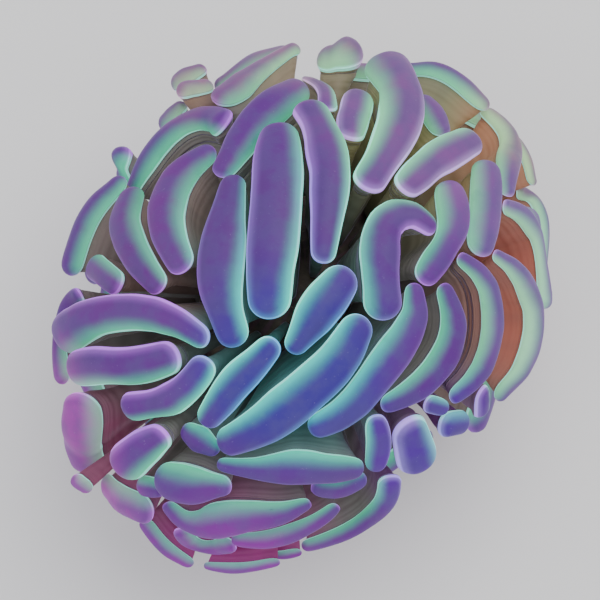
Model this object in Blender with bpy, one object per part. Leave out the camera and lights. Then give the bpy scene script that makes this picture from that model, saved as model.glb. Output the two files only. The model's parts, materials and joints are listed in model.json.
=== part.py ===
"""Hammer coral: a fluted stony stem, the flesh on top of it and the tentacles that stand out from the flesh.

All lengths are in millimetres until a mesh is made, which is in metres. Each tentacle keeps to a cone of its
own that starts at HUB, apart from the slight lean of its head. Most heads were placed by eye on a flat grid,
seen from above the front of the coral, and are laid from there onto a dome.
"""

import math
import random

import bmesh
import bpy
import numpy as np

METRES_PER_MM = 0.001
SEED = 11

# Middle of the dome that the heads lie on, its half axes, and how far it is turned about the upright axis.
HUB = np.array((0.0, 0.0, 46.0))
DOME_HALF_AXES = (64.0, 50.0, 40.0)
DOME_TURN = math.radians(52.0)

# Grid that the heads were placed on. It counts rightwards and downwards and passes through HUB.
GRID_STEP = 0.24
GRID_MIDDLE = (305.0, 303.0)
SIGHT_HEIGHT = math.radians(70.0)
SIGHT_DISTANCE = 400.0

# A head is a flattened sausage, or almost a ball where it is short. Its thickness is this share of its width.
# It leans about its length, part of the way to the light, which comes from the eye of the grid.
LONG_HEAD_FLATNESS = 0.70
SHORT_HEAD_FLATNESS = 0.92
SHORT_HEADS_BELOW = 4.0
WIDEST_HALF = 5.6
LEAN_SHARE = 0.55
MOST_LEAN = math.radians(38.0)
HEAD_GAP = 0.4
# How much more of its width a head can keep at one sample than at the one beside it.
WIDENING = 1.12
SAMPLES = 9
SETTLING_ROUNDS = 160
SETTLING_RATE = 0.6
ANCHOR_RATE = 0.10
MOST_TWIST = 0.03
BENDING = 0.3
BENDING_LENGTH = 14.0
SMOOTHING_PASSES = 4

# Flesh: half axes of its plan, height of its crown over HUB, and the skirt that hangs over the stem.
FLESH_HALF_AXES = (30.0, 24.0)
FLESH_CROWN = 18.0
SKIRT_TOP_Z = 36.5
SKIRT_END_Z = 25.0
SKIRT_INSIDE = 0.89
ROOT_GAP = 0.6
ROOT_DEPTH = 1.8
FLESH_SIDES = 20

# Stony stem: height, number of ribs, depth of the grooves as a share of the radius.
STEM_TOP_Z = 36.0
RIBS = 20
GROOVE_DEPTH = 0.035

# Rings of a tentacle from its root to the crown of its head. Each has the share of the head's length that
# it spans, its half width as a share of the head's, and its shift to the inner side.
ROOT_RING = {"span": 0.80, "share": 0.34}
WEB_RING = {"reach": 0.80, "span": 0.86, "share": 0.58, "shift": 0.08}
NECK_RING = {"level": -0.90, "span": 0.95, "share": 0.74, "shift": 0.12, "lean": 0.5}
MIDDLE_RING = {"level": 0.0, "span": 1.0, "share": 1.0, "shift": 0.0, "lean": 1.0}
SHOULDER_RING = {"level": 0.62, "span": 0.98, "share": 0.80, "shift": 0.0, "lean": 1.0}
CROWN_RING = {"level": 0.98, "span": 0.90, "share": 0.34, "shift": 0.0, "lean": 1.0}
TIP_LENGTH = 0.80
END_NARROWING = 0.87

# Heads with a part of their own: points of the middle line on the grid, widths along it, the side on which
# the web shows (u, d, l, r for up, down, left, right), height against the dome, and stations along it.
HEADS = (
    (((285, 140), (280, 200), (268, 280), (268, 298)), (46, 56, 54, 42), "r", 1.03, 5),
    (((310, 125), (327, 150), (334, 190), (331, 225), (332, 260)), (36, 42, 42, 36, 34), "r", 1.04, 5),
    (((226, 185), (222, 230), (217, 270), (218, 300), (228, 330)), (38, 42, 48, 50, 42), "r", 1.01, 5),
    (((338, 285), (315, 312), (288, 338)), (50, 34), "ul", 1.03, 4),
    (((265, 342), (235, 370), (210, 412)), (36,), "ul", 1.02, 4),
    (((373, 300), (373, 250), (382, 222), (405, 214), (424, 230)), (42, 42, 36, 30), "l", 1.02, 5),
    (((445, 195), (455, 225), (445, 250), (430, 280)), (34,), "l", 1.00, 5),
    (((484, 170), (486, 200), (482, 245)), (32,), "l", 1.00, 4),
    (((385, 75), (402, 105), (395, 140), (365, 185)), (45, 48, 44, 36), "ul", 1.03, 5),
    (((405, 188), (435, 162), (465, 142)), (34, 38, 35), "ul", 1.01, 4),
    (((420, 98), (435, 110), (447, 125)), (24,), "ul", 0.97, 3),
    (((366, 97), (350, 110), (335, 128)), (34,), "dr", 0.97, 3),
    (((300, 92), (270, 112), (245, 145), (228, 170)), (34, 38, 39, 34), "dr", 1.00, 5),
    (((292, 52), (262, 72), (232, 95), (218, 103)), (38,), "dr", 1.01, 5),
    (((275, 44), (245, 56), (214, 76)), (26,), "dr", 0.98, 3, 10.0),
    (((180, 74), (198, 66)), (24,), "dl", 1.00, 3, 9.0),
    (((190, 89), (208, 86)), (25,), "d", 1.00, 3),
    (((225, 112), (195, 117), (170, 133), (152, 158), (138, 182)), (28, 29, 28, 25, 21), "dr", 1.00, 5),
    (((210, 158), (185, 172), (169, 200), (167, 230), (180, 262)), (26, 34, 38, 36, 29), "r", 1.01, 5),
    (((131, 198), (123, 220), (130, 245), (147, 272), (157, 283)), (25, 31, 34, 32, 25), "r", 1.00, 5),
    (((118, 186), (97, 205), (83, 232), (74, 262)), (23,), "r", 1.00, 4),
    (((92, 266), (112, 284)), (26,), "ur", 0.98, 3),
    (((80, 297), (63, 315), (58, 345), (62, 372)), (18,), "r", 1.00, 4),
    (((72, 335), (100, 316), (135, 311), (172, 318), (200, 340)), (44, 38, 32), "d", 1.02, 5),
    (((82, 372), (110, 366), (140, 369), (172, 362)), (42, 36, 42), "d", 1.01, 4),
    (((140, 414), (170, 407), (192, 385), (202, 366)), (31, 38, 38, 33), "dr", 1.02, 4),
    (((135, 462), (150, 448), (168, 436)), (42,), "dr", 1.01, 3),
    (((80, 405), (84, 440), (90, 465)), (44, 38, 44), "r", 1.00, 4),
    (((103, 478), (118, 496), (143, 510)), (28,), "ur", 1.00, 4),
    (((175, 480), (200, 478), (222, 470)), (44, 40, 28), "u", 1.01, 4),
    (((190, 438), (215, 445)), (32,), "u", 0.98, 3),
    (((228, 432), (265, 418), (300, 392), (335, 360), (352, 330)), (40, 46, 47, 43, 35), "ul", 1.04, 5),
    (((408, 288), (412, 312), (392, 345), (370, 378), (345, 408), (318, 420)), (24, 33, 38, 36, 33, 27), "ul", 1.02, 5),
    (((438, 290), (452, 320), (445, 352), (420, 385), (388, 403)), (21, 27, 30, 28, 22), "l", 1.01, 4),
    (((460, 256), (483, 272), (492, 300), (492, 340), (478, 375), (455, 392)), (19, 22, 24, 22, 18), "l", 1.00, 4),
    (((497, 257), (520, 272), (531, 305), (530, 345), (520, 375), (503, 388)), (15, 20, 22, 22, 17), "l", 1.00, 4),
    (((508, 199), (524, 208), (536, 235), (541, 270), (545, 295)), (17,), "l", 1.00, 4),
    (((525, 190), (543, 200), (551, 225), (550, 260)), (15,), "l", 1.00, 4, 11.0),
    (((488, 114), (505, 128), (508, 160), (508, 190)), (20,), "l", 1.00, 4),
    (((408, 73), (432, 69), (458, 82), (482, 105)), (20,), "dl", 1.00, 4),
    (((319, 68), (329, 63)), (48,), "d", 1.02, 3),
    (((302, 75), (318, 90), (322, 105)), (20,), "ur", 0.98, 3),
    (((222, 460), (255, 467), (290, 465), (325, 470), (350, 470)), (24, 31, 39, 33, 25), "u", 1.01, 4),
    (((318, 492), (340, 492), (357, 480)), (22,), "u", 0.98, 3),
    (((172, 505), (190, 524), (215, 518), (245, 512), (280, 512), (305, 500)), (15, 22, 40, 33, 26, 15), "u", 1.01, 4),
    (((238, 540), (265, 541), (295, 532), (320, 520), (333, 508)), (15, 20, 20, 17, 13), "u", 1.00, 4),
    (((390, 482), (387, 503), (365, 520), (335, 537), (308, 545)), (24, 18, 16), "ul", 1.00, 5),
    (((408, 428), (414, 456)), (38, 44), "r", 1.00, 3),
    (((380, 420), (378, 440), (368, 462)), (25,), "l", 1.00, 3),
    (((446, 423), (458, 423)), (26,), "u", 1.00, 3),
    (((480, 393), (480, 407)), (20,), "u", 1.00, 3),
    (((185, 535), (200, 548), (225, 545)), (18,), "u", 1.00, 3),
)

# Small heads, in the same form, which are fused to the flesh.
SMALL_HEADS = (
    (((145, 491), (156, 489)), (22,), "u", 0.98, 3),
    (((429, 404), (443, 406)), (18,), "u", 1.00, 3),
    (((258, 552), (278, 556), (298, 552)), (10,), "u", 1.00, 3),
    (((205, 566), (240, 569), (275, 562)), (11,), "u", 1.00, 3),
    (((520, 140), (531, 160), (534, 182)), (12,), "l", 1.00, 3, 6.0),
    (((148, 525), (165, 548), (190, 563)), (15,), "ur", 1.00, 3),
    (((77, 480), (85, 486)), (18,), "ur", 1.00, 3),
    (((113, 153), (120, 167)), (24,), "r", 0.98, 3, 13.0),
    (((357, 60), (371, 62)), (24,), "dl", 0.96, 3, 7.0),
    (((166, 108), (178, 94)), (20,), "dr", 0.96, 3, 6.0),
)

# Rows of heads round the back and below, out of sight from above the front: height of the row and its two
# ends as angles in degrees, number of heads, height against the dome, and if they are fused to the flesh.
ROWS = (
    (-2.0, 22.0, 158.0, 5, 1.00, False),
    (-14.0, -22.0, 202.0, 8, 0.98, True),
    (-27.0, -88.0, 239.0, 11, 0.92, True),
)
ROW_HEAD_LENGTH = 17.0
ROW_HEAD_WIDTH = 9.0
ROW_TILT = math.radians(14.0)
ROW_BOW = 2.0
ROW_FREEDOM = 6.0

# Colours of the heads at a few places of the grid. A head takes them by its distance from each place.
HEAD_COLOURS = (
    ((300, 300), (0.10, 0.10, 0.42)),
    ((180, 230), (0.19, 0.10, 0.36)),
    ((400, 130), (0.30, 0.24, 0.52)),
    ((520, 280), (0.52, 0.62, 0.50)),
    ((330, 50), (0.50, 0.32, 0.36)),
    ((100, 440), (0.55, 0.20, 0.55)),
    ((250, 540), (0.42, 0.12, 0.45)),
    ((420, 440), (0.20, 0.09, 0.42)),
)
FLESH_COLOUR = (0.10, 0.09, 0.07)
STONE_COLOUR = (0.62, 0.56, 0.46)
WET_ROUGHNESS = 0.35
STONE_ROUGHNESS = 0.9

SIDES = {
    "u": (0, 1),
    "d": (0, -1),
    "l": (-1, 0),
    "r": (1, 0),
    "ul": (-1, 1),
    "ur": (1, 1),
    "dl": (-1, -1),
    "dr": (1, -1),
}

RIGHT = np.array((1.0, 0.0, 0.0))
UP = np.array((0.0, math.sin(SIGHT_HEIGHT), math.cos(SIGHT_HEIGHT)))
TOWARDS = np.array((0.0, -math.cos(SIGHT_HEIGHT), math.sin(SIGHT_HEIGHT)))
EYE = HUB + SIGHT_DISTANCE * TOWARDS


def turned_scale(half_axes):
    """Gives the matrix that makes an ellipsoid, turned like the dome, into a ball of radius one."""
    cosine = math.cos(DOME_TURN)
    sine = math.sin(DOME_TURN)
    turn = np.array(((cosine, sine, 0.0), (-sine, cosine, 0.0), (0.0, 0.0, 1.0)))
    return np.diag([1.0 / half_axis for half_axis in half_axes]) @ turn


TO_DOME_BALL = turned_scale(DOME_HALF_AXES)
TO_FLESH_BALL = turned_scale(FLESH_HALF_AXES + (FLESH_CROWN,))


def unit(vector):
    """Gives a vector of length one in the same direction."""
    return vector / np.linalg.norm(vector)


def dome_share(place):
    """Tells how far out a place is, where one is on the dome."""
    return np.linalg.norm(TO_DOME_BALL @ (place - HUB))


def seen_on_dome(grid_point):
    """Gives the place on the dome that is seen at a point of the grid, or the nearest one beside it."""
    across = (grid_point[0] - GRID_MIDDLE[0]) * GRID_STEP
    up = (GRID_MIDDLE[1] - grid_point[1]) * GRID_STEP
    sight = unit(HUB + across * RIGHT + up * UP - EYE)
    ball_sight = TO_DOME_BALL @ sight
    ball_eye = TO_DOME_BALL @ (EYE - HUB)
    square = ball_sight @ ball_sight
    middle = ball_sight @ ball_eye
    room = middle * middle - square * (ball_eye @ ball_eye - 1.0)
    reach = (-middle - math.sqrt(max(room, 0.0))) / square
    return EYE + reach * sight


def round_off(points):
    """Cuts the corners of a line twice and keeps its two ends."""
    for _ in range(2):
        cut = [points[0]]
        for start, end in zip(points[:-1], points[1:]):
            cut.append(0.75 * start + 0.25 * end)
            cut.append(0.25 * start + 0.75 * end)
        cut.append(points[-1])
        points = cut
    return np.array(points)


def even_samples(line, count):
    """Gives points at even steps along a line."""
    steps = np.linalg.norm(np.diff(line, axis=0), axis=1)
    along = np.concatenate(([0.0], np.cumsum(steps)))
    wanted = np.linspace(0.0, along[-1], count)
    columns = [np.interp(wanted, along, line[:, axis]) for axis in range(line.shape[1])]
    return np.stack(columns, axis=1)


def leaned(out, inner, share):
    """Turns the outward and inner directions of a head about its length by a share of its lean."""
    to_light = math.atan2(inner @ TOWARDS, out @ TOWARDS)
    lean = share * min(max(LEAN_SHARE * to_light, 0.0), MOST_LEAN)
    return math.cos(lean) * out + math.sin(lean) * inner, math.cos(lean) * inner - math.sin(lean) * out


def flatness_of(places, half):
    """Gives the thickness of a head as a share of its width, from its middle line and half width."""
    length = np.linalg.norm(np.diff(places, axis=0), axis=1).sum()
    share = min(length / (SHORT_HEADS_BELOW * half), 1.0)
    return SHORT_HEAD_FLATNESS + (LONG_HEAD_FLATNESS - SHORT_HEAD_FLATNESS) * share


def half_width_at(place, along, hint, flatness, grid_width):
    """Turns a width seen on the grid into the half width of a flattened head that lies along a direction."""
    to_eye = EYE - place
    seen_half = 0.5 * grid_width * GRID_STEP * (to_eye @ TOWARDS) / SIGHT_DISTANCE
    out = unit(place - HUB)
    along = unit(along - (along @ out) * out)
    inner = np.cross(out, along)
    crown, side = leaned(out, inner * math.copysign(1.0, inner @ hint), 1.0)
    across = unit(np.cross(along, to_eye))
    return min(seen_half / math.hypot(side @ across, flatness * (crown @ across)), WIDEST_HALF)


def seen_head(entry, fused):
    """Makes the description of a head that was placed on the grid."""
    points, widths, side, height, stations, *sink = entry
    line = even_samples(round_off([np.array(point, float) for point in points]), SAMPLES)
    places = np.array([seen_on_dome(point) for point in line])
    if sink:
        places = places - sink[0] * TOWARDS
    widths = widths if len(widths) > 1 else widths * 2
    wanted = np.interp(np.linspace(0.0, 1.0, SAMPLES), np.linspace(0.0, 1.0, len(widths)), widths)
    across, up = SIDES[side]
    hint = across * RIGHT + up * UP + TOWARDS
    flatness = flatness_of(places, 0.5 * max(widths) * GRID_STEP)
    halves = []
    for place, direction, width in zip(places, np.gradient(places, axis=0), wanted):
        halves.append(half_width_at(place, direction, hint, flatness, width))
    return {
        "places": places,
        "halves": np.array(halves),
        "flatness": flatness,
        "inner": hint,
        "height": height,
        "freedom": 1.0,
        "stations": stations,
        "fused": fused,
    }


def row_heads():
    """Makes the descriptions of the heads that are out of sight."""
    chance = random.Random(SEED)
    heads = []
    for latitude, start, end, count, height, fused in ROWS:
        for index in range(count):
            bearing = math.radians(start + (end - start) * index / (count - 1))
            lift = math.radians(latitude + chance.uniform(-2.0, 2.0))
            flat = math.cos(lift)
            out = np.array((flat * math.cos(bearing), flat * math.sin(bearing), math.sin(lift)))
            middle = HUB + out / np.linalg.norm(TO_DOME_BALL @ out)
            level = unit(np.cross((0.0, 0.0, 1.0), out))
            rise = np.cross(out, level)
            tilt = chance.uniform(-ROW_TILT, ROW_TILT)
            along = math.cos(tilt) * level + math.sin(tilt) * rise
            length = ROW_HEAD_LENGTH * chance.uniform(0.85, 1.1)
            bow = chance.uniform(-ROW_BOW, ROW_BOW)
            line = []
            for share in np.linspace(-1.0, 1.0, SAMPLES):
                line.append(middle + 0.5 * length * share * along + bow * share * share * rise)
            width = ROW_HEAD_WIDTH * chance.uniform(0.9, 1.05)
            heads.append({
                "places": np.array(line),
                "halves": np.full(SAMPLES, 0.5 * width),
                "flatness": LONG_HEAD_FLATNESS,
                "inner": rise,
                "height": height,
                "freedom": ROW_FREEDOM,
                "stations": 3,
                "fused": fused,
            })
    return heads


def settle(heads):
    """Moves the heads apart on the dome until there is a gap between them, then narrows what still touches."""
    reaches = np.array([[dome_share(place) for place in head["places"]] for head in heads])
    spots = np.array([head["places"] for head in heads]) - HUB
    spots = spots / reaches[:, :, None]
    halves = np.array([head["halves"] for head in heads])
    owner = np.repeat(np.arange(len(heads)), SAMPLES)
    strangers = owner[:, None] != owner[None, :]
    radii = halves.reshape(-1)
    needed = radii[:, None] + radii[None, :] + HEAD_GAP
    first_lengths = np.linalg.norm(np.diff(spots, axis=1), axis=2).sum(axis=1)
    freedom = np.repeat([head["freedom"] for head in heads], SAMPLES)
    yielding = 2.0 * freedom[:, None] / (freedom[:, None] + freedom[None, :])
    first_spots = spots.copy()
    pull = ANCHOR_RATE * np.array([head["freedom"] == 1.0 for head in heads])[:, None, None]
    pliant = np.where(first_lengths > BENDING_LENGTH, BENDING, 0.0)
    for _ in range(SETTLING_ROUNDS):
        flat = spots.reshape(-1, 3)
        apart = flat[:, None, :] - flat[None, :, :]
        distance = np.linalg.norm(apart, axis=2) + 1e-9
        lack = np.where(strangers, np.maximum(needed - distance, 0.0), 0.0)
        pushes = (apart / distance[:, :, None] * (lack * yielding)[:, :, None]).sum(axis=1)
        counts = np.maximum((lack > 0.0).sum(axis=1), 1)
        moves = (SETTLING_RATE * pushes / counts[:, None]).reshape(spots.shape)
        middles = spots.mean(axis=1, keepdims=True)
        arms = spots - middles
        axes = middles / np.linalg.norm(middles, axis=2, keepdims=True)
        twists = (np.cross(arms, moves) * axes).sum(axis=(1, 2)) / (arms * arms).sum(axis=(1, 2))
        twists = np.clip(twists, -MOST_TWIST, MOST_TWIST)
        shift = moves.mean(axis=1, keepdims=True)
        homing = pull * (first_spots - spots)
        turned = np.cross(axes, arms) * twists[:, None, None]
        bend = moves - shift - turned
        for _ in range(SMOOTHING_PASSES):
            beside = np.concatenate((bend[:, :1], bend, bend[:, -1:]), axis=1)
            bend = 0.5 * bend + 0.25 * (beside[:, :-2] + beside[:, 2:])
        bend = bend * pliant[:, None, None]
        spots = np.array([even_samples(line, SAMPLES) for line in spots + shift + homing + turned + bend])
        middles = spots.mean(axis=1, keepdims=True)
        lengths = np.linalg.norm(np.diff(spots, axis=1), axis=2).sum(axis=1)
        spots = middles + (spots - middles) * (first_lengths / lengths)[:, None, None]
        spots = spots / np.linalg.norm(spots @ TO_DOME_BALL.T, axis=2)[:, :, None]
    flat = spots.reshape(-1, 3)
    distance = np.linalg.norm(flat[:, None, :] - flat[None, :, :], axis=2)
    share = radii[:, None] / (radii[:, None] + radii[None, :])
    allowed = np.where(strangers, (distance - HEAD_GAP) * share, np.inf).min(axis=1)
    kept = np.minimum(allowed / radii, 1.0).reshape(halves.shape)
    for place in range(1, SAMPLES):
        kept[:, place] = np.minimum(kept[:, place], kept[:, place - 1] * WIDENING)
    for place in range(SAMPLES - 2, -1, -1):
        kept[:, place] = np.minimum(kept[:, place], kept[:, place + 1] * WIDENING)
    settled = halves * kept
    for index, head in enumerate(heads):
        head["places"] = HUB + spots[index] * reaches[index][:, None] * head["height"]
        head["halves"] = settled[index] * reaches[index] * head["height"]
        middle = head["places"][SAMPLES // 2] - HUB
        along = head["places"][SAMPLES // 2 + 1] - head["places"][SAMPLES // 2 - 1]
        head["turn"] = 1.0 if np.cross(middle, along) @ head["inner"] > 0.0 else -1.0


def along_head(head, share):
    """Gives the place, outward, lengthwise and inner directions and half width at a share of the length."""
    ticks = np.linspace(0.0, 1.0, SAMPLES)

    def place_at(part):
        return np.array([np.interp(part, ticks, head["places"][:, axis]) for axis in range(3)])

    place = place_at(share)
    out = unit(place - HUB)
    along = place_at(min(share + 0.08, 1.0)) - place_at(max(share - 0.08, 0.0))
    along = unit(along - (along @ out) * out)
    inner = np.cross(out, along) * head["turn"]
    return place, out, along, inner, np.interp(share, ticks, head["halves"])


def flesh_distance(out):
    """Gives the distance from HUB to the skin of the flesh in a direction."""
    if out[2] >= 0.0:
        return 1.0 / np.linalg.norm(TO_FLESH_BALL @ out)
    level = np.array((out[0], out[1], 0.0))
    return 1.0 / np.linalg.norm(TO_FLESH_BALL @ level)


def ring_points(head, ring):
    """Gives the points of one ring of a tentacle: a tip, one side, the other tip and the other side."""
    count = head["stations"]
    sides = ([], [])
    tips = []
    for station in range(count):
        share = 0.5 + (station / (count - 1) - 0.5) * ring["span"]
        place, out, along, inner, half = along_head(head, share)
        if "level" in ring:
            crown, side = leaned(out, inner, ring["lean"])
            middle = place + crown * (ring["level"] * head["flatness"] * half) + side * (ring["shift"] * half)
        elif "reach" in ring:
            side = inner
            middle = HUB + (place - HUB) * ring["reach"] + side * (ring["shift"] * half)
        else:
            side = inner
            middle = HUB + out * (flesh_distance(out) + (-ROOT_DEPTH if head["fused"] else ROOT_GAP))
        wide = ring["share"] * half
        is_end = station in (0, count - 1)
        narrow = wide * (END_NARROWING if is_end else 1.0)
        sides[0].append(middle + side * narrow)
        sides[1].append(middle - side * narrow)
        if is_end:
            outwards = -along if station == 0 else along
            tips.append(middle + outwards * TIP_LENGTH * wide)
    return [tips[0]] + sides[0] + [tips[1]] + sides[1][::-1]


def new_object(name, verts, faces, material):
    """Makes a closed object from points in millimetres and faces, with its faces turned outwards."""
    mesh = bpy.data.meshes.new(name)
    shape = bmesh.new()
    corners = [shape.verts.new([value * METRES_PER_MM for value in point]) for point in verts]
    for face in faces:
        shape.faces.new([corners[index] for index in face])
    bmesh.ops.recalc_face_normals(shape, faces=shape.faces[:])
    for face in shape.faces:
        face.smooth = True
    shape.to_mesh(mesh)
    shape.free()
    mesh.materials.append(material)
    thing = bpy.data.objects.new(name, mesh)
    bpy.context.scene.collection.objects.link(thing)
    return thing


def band_faces(lower, upper, count):
    """Lists the faces between two rings that start at the given points."""
    faces = []
    for index in range(count):
        after = (index + 1) % count
        faces.append((lower + index, lower + after, upper + after, upper + index))
    return faces


def strip_faces(start, stations):
    """Lists the faces that close a ring of a tentacle across from side to side."""
    count = 2 * stations + 2
    faces = [(start, start + 1, start + count - 1)]
    for index in range(1, stations):
        faces.append((start + index, start + index + 1, start + count - index - 1, start + count - index))
    faces.append((start + stations, start + stations + 1, start + stations + 2))
    return faces


def tentacle(name, head, material):
    """Makes one tentacle from its root to the crown of its head."""
    rings = [ROOT_RING, WEB_RING, NECK_RING, MIDDLE_RING, SHOULDER_RING, CROWN_RING]
    if head["fused"]:
        rings.remove(WEB_RING)
    count = 2 * head["stations"] + 2
    verts = []
    faces = []
    for index, ring in enumerate(rings):
        verts.extend(ring_points(head, ring))
        if index:
            faces.extend(band_faces((index - 1) * count, index * count, count))
    faces.extend(strip_faces(0, head["stations"]))
    faces.extend(strip_faces((len(rings) - 1) * count, head["stations"]))
    return new_object(name, verts, faces, material)


def plan_point(angle, share, height, half_axes):
    """Gives a point at a share of a turned ellipse and at a height."""
    long_part = share * half_axes[0] * math.cos(angle)
    short_part = share * half_axes[1] * math.sin(angle)
    cosine = math.cos(DOME_TURN)
    sine = math.sin(DOME_TURN)
    return (long_part * cosine - short_part * sine, long_part * sine + short_part * cosine, height)


def turned_rings(name, profile, sides, groove, material):
    """Makes a closed upright body from shares of the flesh's plan at heights, with ribs if groove isn't zero."""
    verts = []
    faces = []
    for index, (share, height) in enumerate(profile):
        for side in range(sides):
            depth = groove if side % 2 else 0.0
            verts.append(plan_point(2.0 * math.pi * side / sides, share * (1.0 - depth), height, FLESH_HALF_AXES))
        if index:
            faces.extend(band_faces((index - 1) * sides, index * sides, sides))
    last = (len(profile) - 1) * sides
    faces.append(tuple(range(sides)))
    faces.append(tuple(range(last, last + sides)))
    return new_object(name, verts, faces, material)


def flesh_profile():
    """Gives the outline of the flesh from the ceiling under it, down the skirt and up to the crown."""
    profile = [(0.3, SKIRT_TOP_Z), (SKIRT_INSIDE, SKIRT_TOP_Z), (SKIRT_INSIDE, SKIRT_END_Z)]
    profile += [(0.96, SKIRT_END_Z - 0.6), (1.0, SKIRT_END_Z + 3.0)]
    for angle in (0.0, 25.0, 50.0, 72.0):
        slope = math.radians(angle)
        profile.append((math.cos(slope), HUB[2] + FLESH_CROWN * math.sin(slope)))
    return profile


def stem_profile():
    """Gives the outline of the stony stem from its flat cut to its rim."""
    return [(0.74, 0.0), (0.70, 10.0), (0.76, 24.0), (0.86, 33.0), (0.83, STEM_TOP_Z)]


def wet_material(name, colour, roughness):
    """Makes a plain material."""
    material = bpy.data.materials.new(name)
    material.use_nodes = True
    shader = material.node_tree.nodes["Principled BSDF"]
    shader.inputs["Base Color"].default_value = (*colour, 1.0)
    shader.inputs["Roughness"].default_value = roughness
    shader.inputs["Metallic"].default_value = 0.0
    return material


def head_colour(head):
    """Mixes the colour of a head from the places of the grid around its middle."""
    middle = head["places"][SAMPLES // 2] - HUB
    here = np.array((middle @ RIGHT, middle @ UP))
    total = np.zeros(3)
    weights = 0.0
    for grid_point, colour in HEAD_COLOURS:
        there = np.array((grid_point[0] - GRID_MIDDLE[0], GRID_MIDDLE[1] - grid_point[1])) * GRID_STEP
        weight = 1.0 / (np.sum((here - there) ** 2) + 25.0)
        total += weight * np.array(colour)
        weights += weight
    return tuple(total / weights)


def fuse(body, others):
    """Fuses the other objects into a body and removes them."""
    group = bpy.data.collections.new("fused")
    for other in others:
        group.objects.link(other)
    joint = body.modifiers.new("fuse", "BOOLEAN")
    joint.operation = "UNION"
    joint.solver = "EXACT"
    joint.operand_type = "COLLECTION"
    joint.collection = group
    evaluated = body.evaluated_get(bpy.context.evaluated_depsgraph_get())
    merged = bpy.data.meshes.new_from_object(evaluated)
    body.modifiers.clear()
    body.data = merged
    merged.name = body.name
    for other in others:
        bpy.data.objects.remove(other)
    bpy.data.collections.remove(group)


def clear_scene():
    """Removes every object of the scene."""
    for thing in list(bpy.data.objects):
        bpy.data.objects.remove(thing)


def all_heads():
    """Gives the settled descriptions of all heads."""
    heads = [seen_head(entry, False) for entry in HEADS]
    heads += [seen_head(entry, True) for entry in SMALL_HEADS]
    heads += row_heads()
    settle(heads)
    return heads


def main():
    """Builds the coral."""
    clear_scene()
    turned_rings("stony_skeleton", stem_profile(), 2 * RIBS, GROOVE_DEPTH,
                 wet_material("stony_skeleton", STONE_COLOUR, STONE_ROUGHNESS))
    flesh = turned_rings("polyp_flesh", flesh_profile(), FLESH_SIDES, 0.0,
                         wet_material("polyp_flesh", FLESH_COLOUR, WET_ROUGHNESS))
    fused = []
    number = 0
    for head in all_heads():
        if head["fused"]:
            fused.append(tentacle("small_tentacle", head, flesh.data.materials[0]))
            continue
        number += 1
        name = f"tentacle_{number:02d}"
        tentacle(name, head, wet_material(name, head_colour(head), WET_ROUGHNESS))
    fuse(flesh, fused)


main()
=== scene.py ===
"""Hammer coral with its looks: swollen tentacles, the mantle under them and the ribbed stony stem.

The tentacles lie where the CAD part has them: the same heads are laid on the same dome and settled in the
same way, and each one is then modelled in full on its own node. Lengths are in millimetres until a mesh is
finished, which is in metres.
"""

import json
import logging
import math
import random
from dataclasses import dataclass, field
from enum import Enum
from typing import Any, Callable, Sequence, Union

import bmesh
import bpy
import numpy as np
from mathutils import Matrix, Vector, noise


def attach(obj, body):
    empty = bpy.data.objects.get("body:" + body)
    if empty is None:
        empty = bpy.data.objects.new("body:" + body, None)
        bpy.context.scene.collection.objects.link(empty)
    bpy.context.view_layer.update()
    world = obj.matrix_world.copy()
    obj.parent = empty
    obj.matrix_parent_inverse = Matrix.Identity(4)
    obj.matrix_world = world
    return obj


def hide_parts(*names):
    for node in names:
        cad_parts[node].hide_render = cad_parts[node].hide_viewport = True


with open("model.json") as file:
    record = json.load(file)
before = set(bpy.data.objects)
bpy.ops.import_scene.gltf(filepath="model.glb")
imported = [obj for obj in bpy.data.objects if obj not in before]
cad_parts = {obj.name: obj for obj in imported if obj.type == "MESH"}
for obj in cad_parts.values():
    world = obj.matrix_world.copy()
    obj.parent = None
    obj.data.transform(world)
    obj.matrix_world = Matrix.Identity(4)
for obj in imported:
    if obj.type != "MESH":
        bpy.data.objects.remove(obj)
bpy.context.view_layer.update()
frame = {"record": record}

LOG = logging.getLogger("hammer_coral")
METRES_PER_MM = 0.001
IMAGE_POINTS = 600
SENSOR_WIDTH = 36.0

Colour = tuple[float, float, float]
Point = tuple[float, float]
Number = Union[float, np.ndarray]


def srgb(red: int, green: int, blue: int) -> Colour:
    """Turns a screen colour into a linear one.

    Args:
        red: Red from 0 to 255.
        green: Green from 0 to 255.
        blue: Blue from 0 to 255.

    Returns:
        The linear colour, each part from 0 to 1.
    """
    parts = [value / 255.0 for value in (red, green, blue)]
    linear = [part / 12.92 if part <= 0.04045 else ((part + 0.055) / 1.055) ** 2.4 for part in parts]
    return (linear[0], linear[1], linear[2])


def smooth_step(low: float, high: float, value: Number) -> Number:
    """Rises smoothly from 0 at low to 1 at high, or falls where high is the smaller.

    Args:
        low: Value that gives 0.
        high: Value that gives 1.
        value: Value or values to look up.

    Returns:
        The height of the rise at each value.
    """
    share = np.clip((value - low) / (high - low), 0.0, 1.0)
    return share * share * (3.0 - 2.0 * share)


def mix(first: Number, second: Number, share: Number) -> Number:
    """Gives what lies at a share of the way from the first to the second."""
    return first + (second - first) * share


def scaled(vectors: np.ndarray, sizes: Number) -> np.ndarray:
    """Gives each vector times its own size."""
    return vectors * np.asarray(sizes)[..., None]


def unit(vectors: np.ndarray) -> np.ndarray:
    """Gives each vector a length of one."""
    return vectors / np.linalg.norm(vectors, axis=-1, keepdims=True)


class Compass(Enum):
    """Sides of the picture, rightwards and upwards."""

    UP = (0.0, 1.0)
    DOWN = (0.0, -1.0)
    LEFT = (-1.0, 0.0)
    RIGHT = (1.0, 0.0)
    UP_LEFT = (-1.0, 1.0)
    UP_RIGHT = (1.0, 1.0)
    DOWN_LEFT = (-1.0, -1.0)
    DOWN_RIGHT = (1.0, -1.0)


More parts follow.
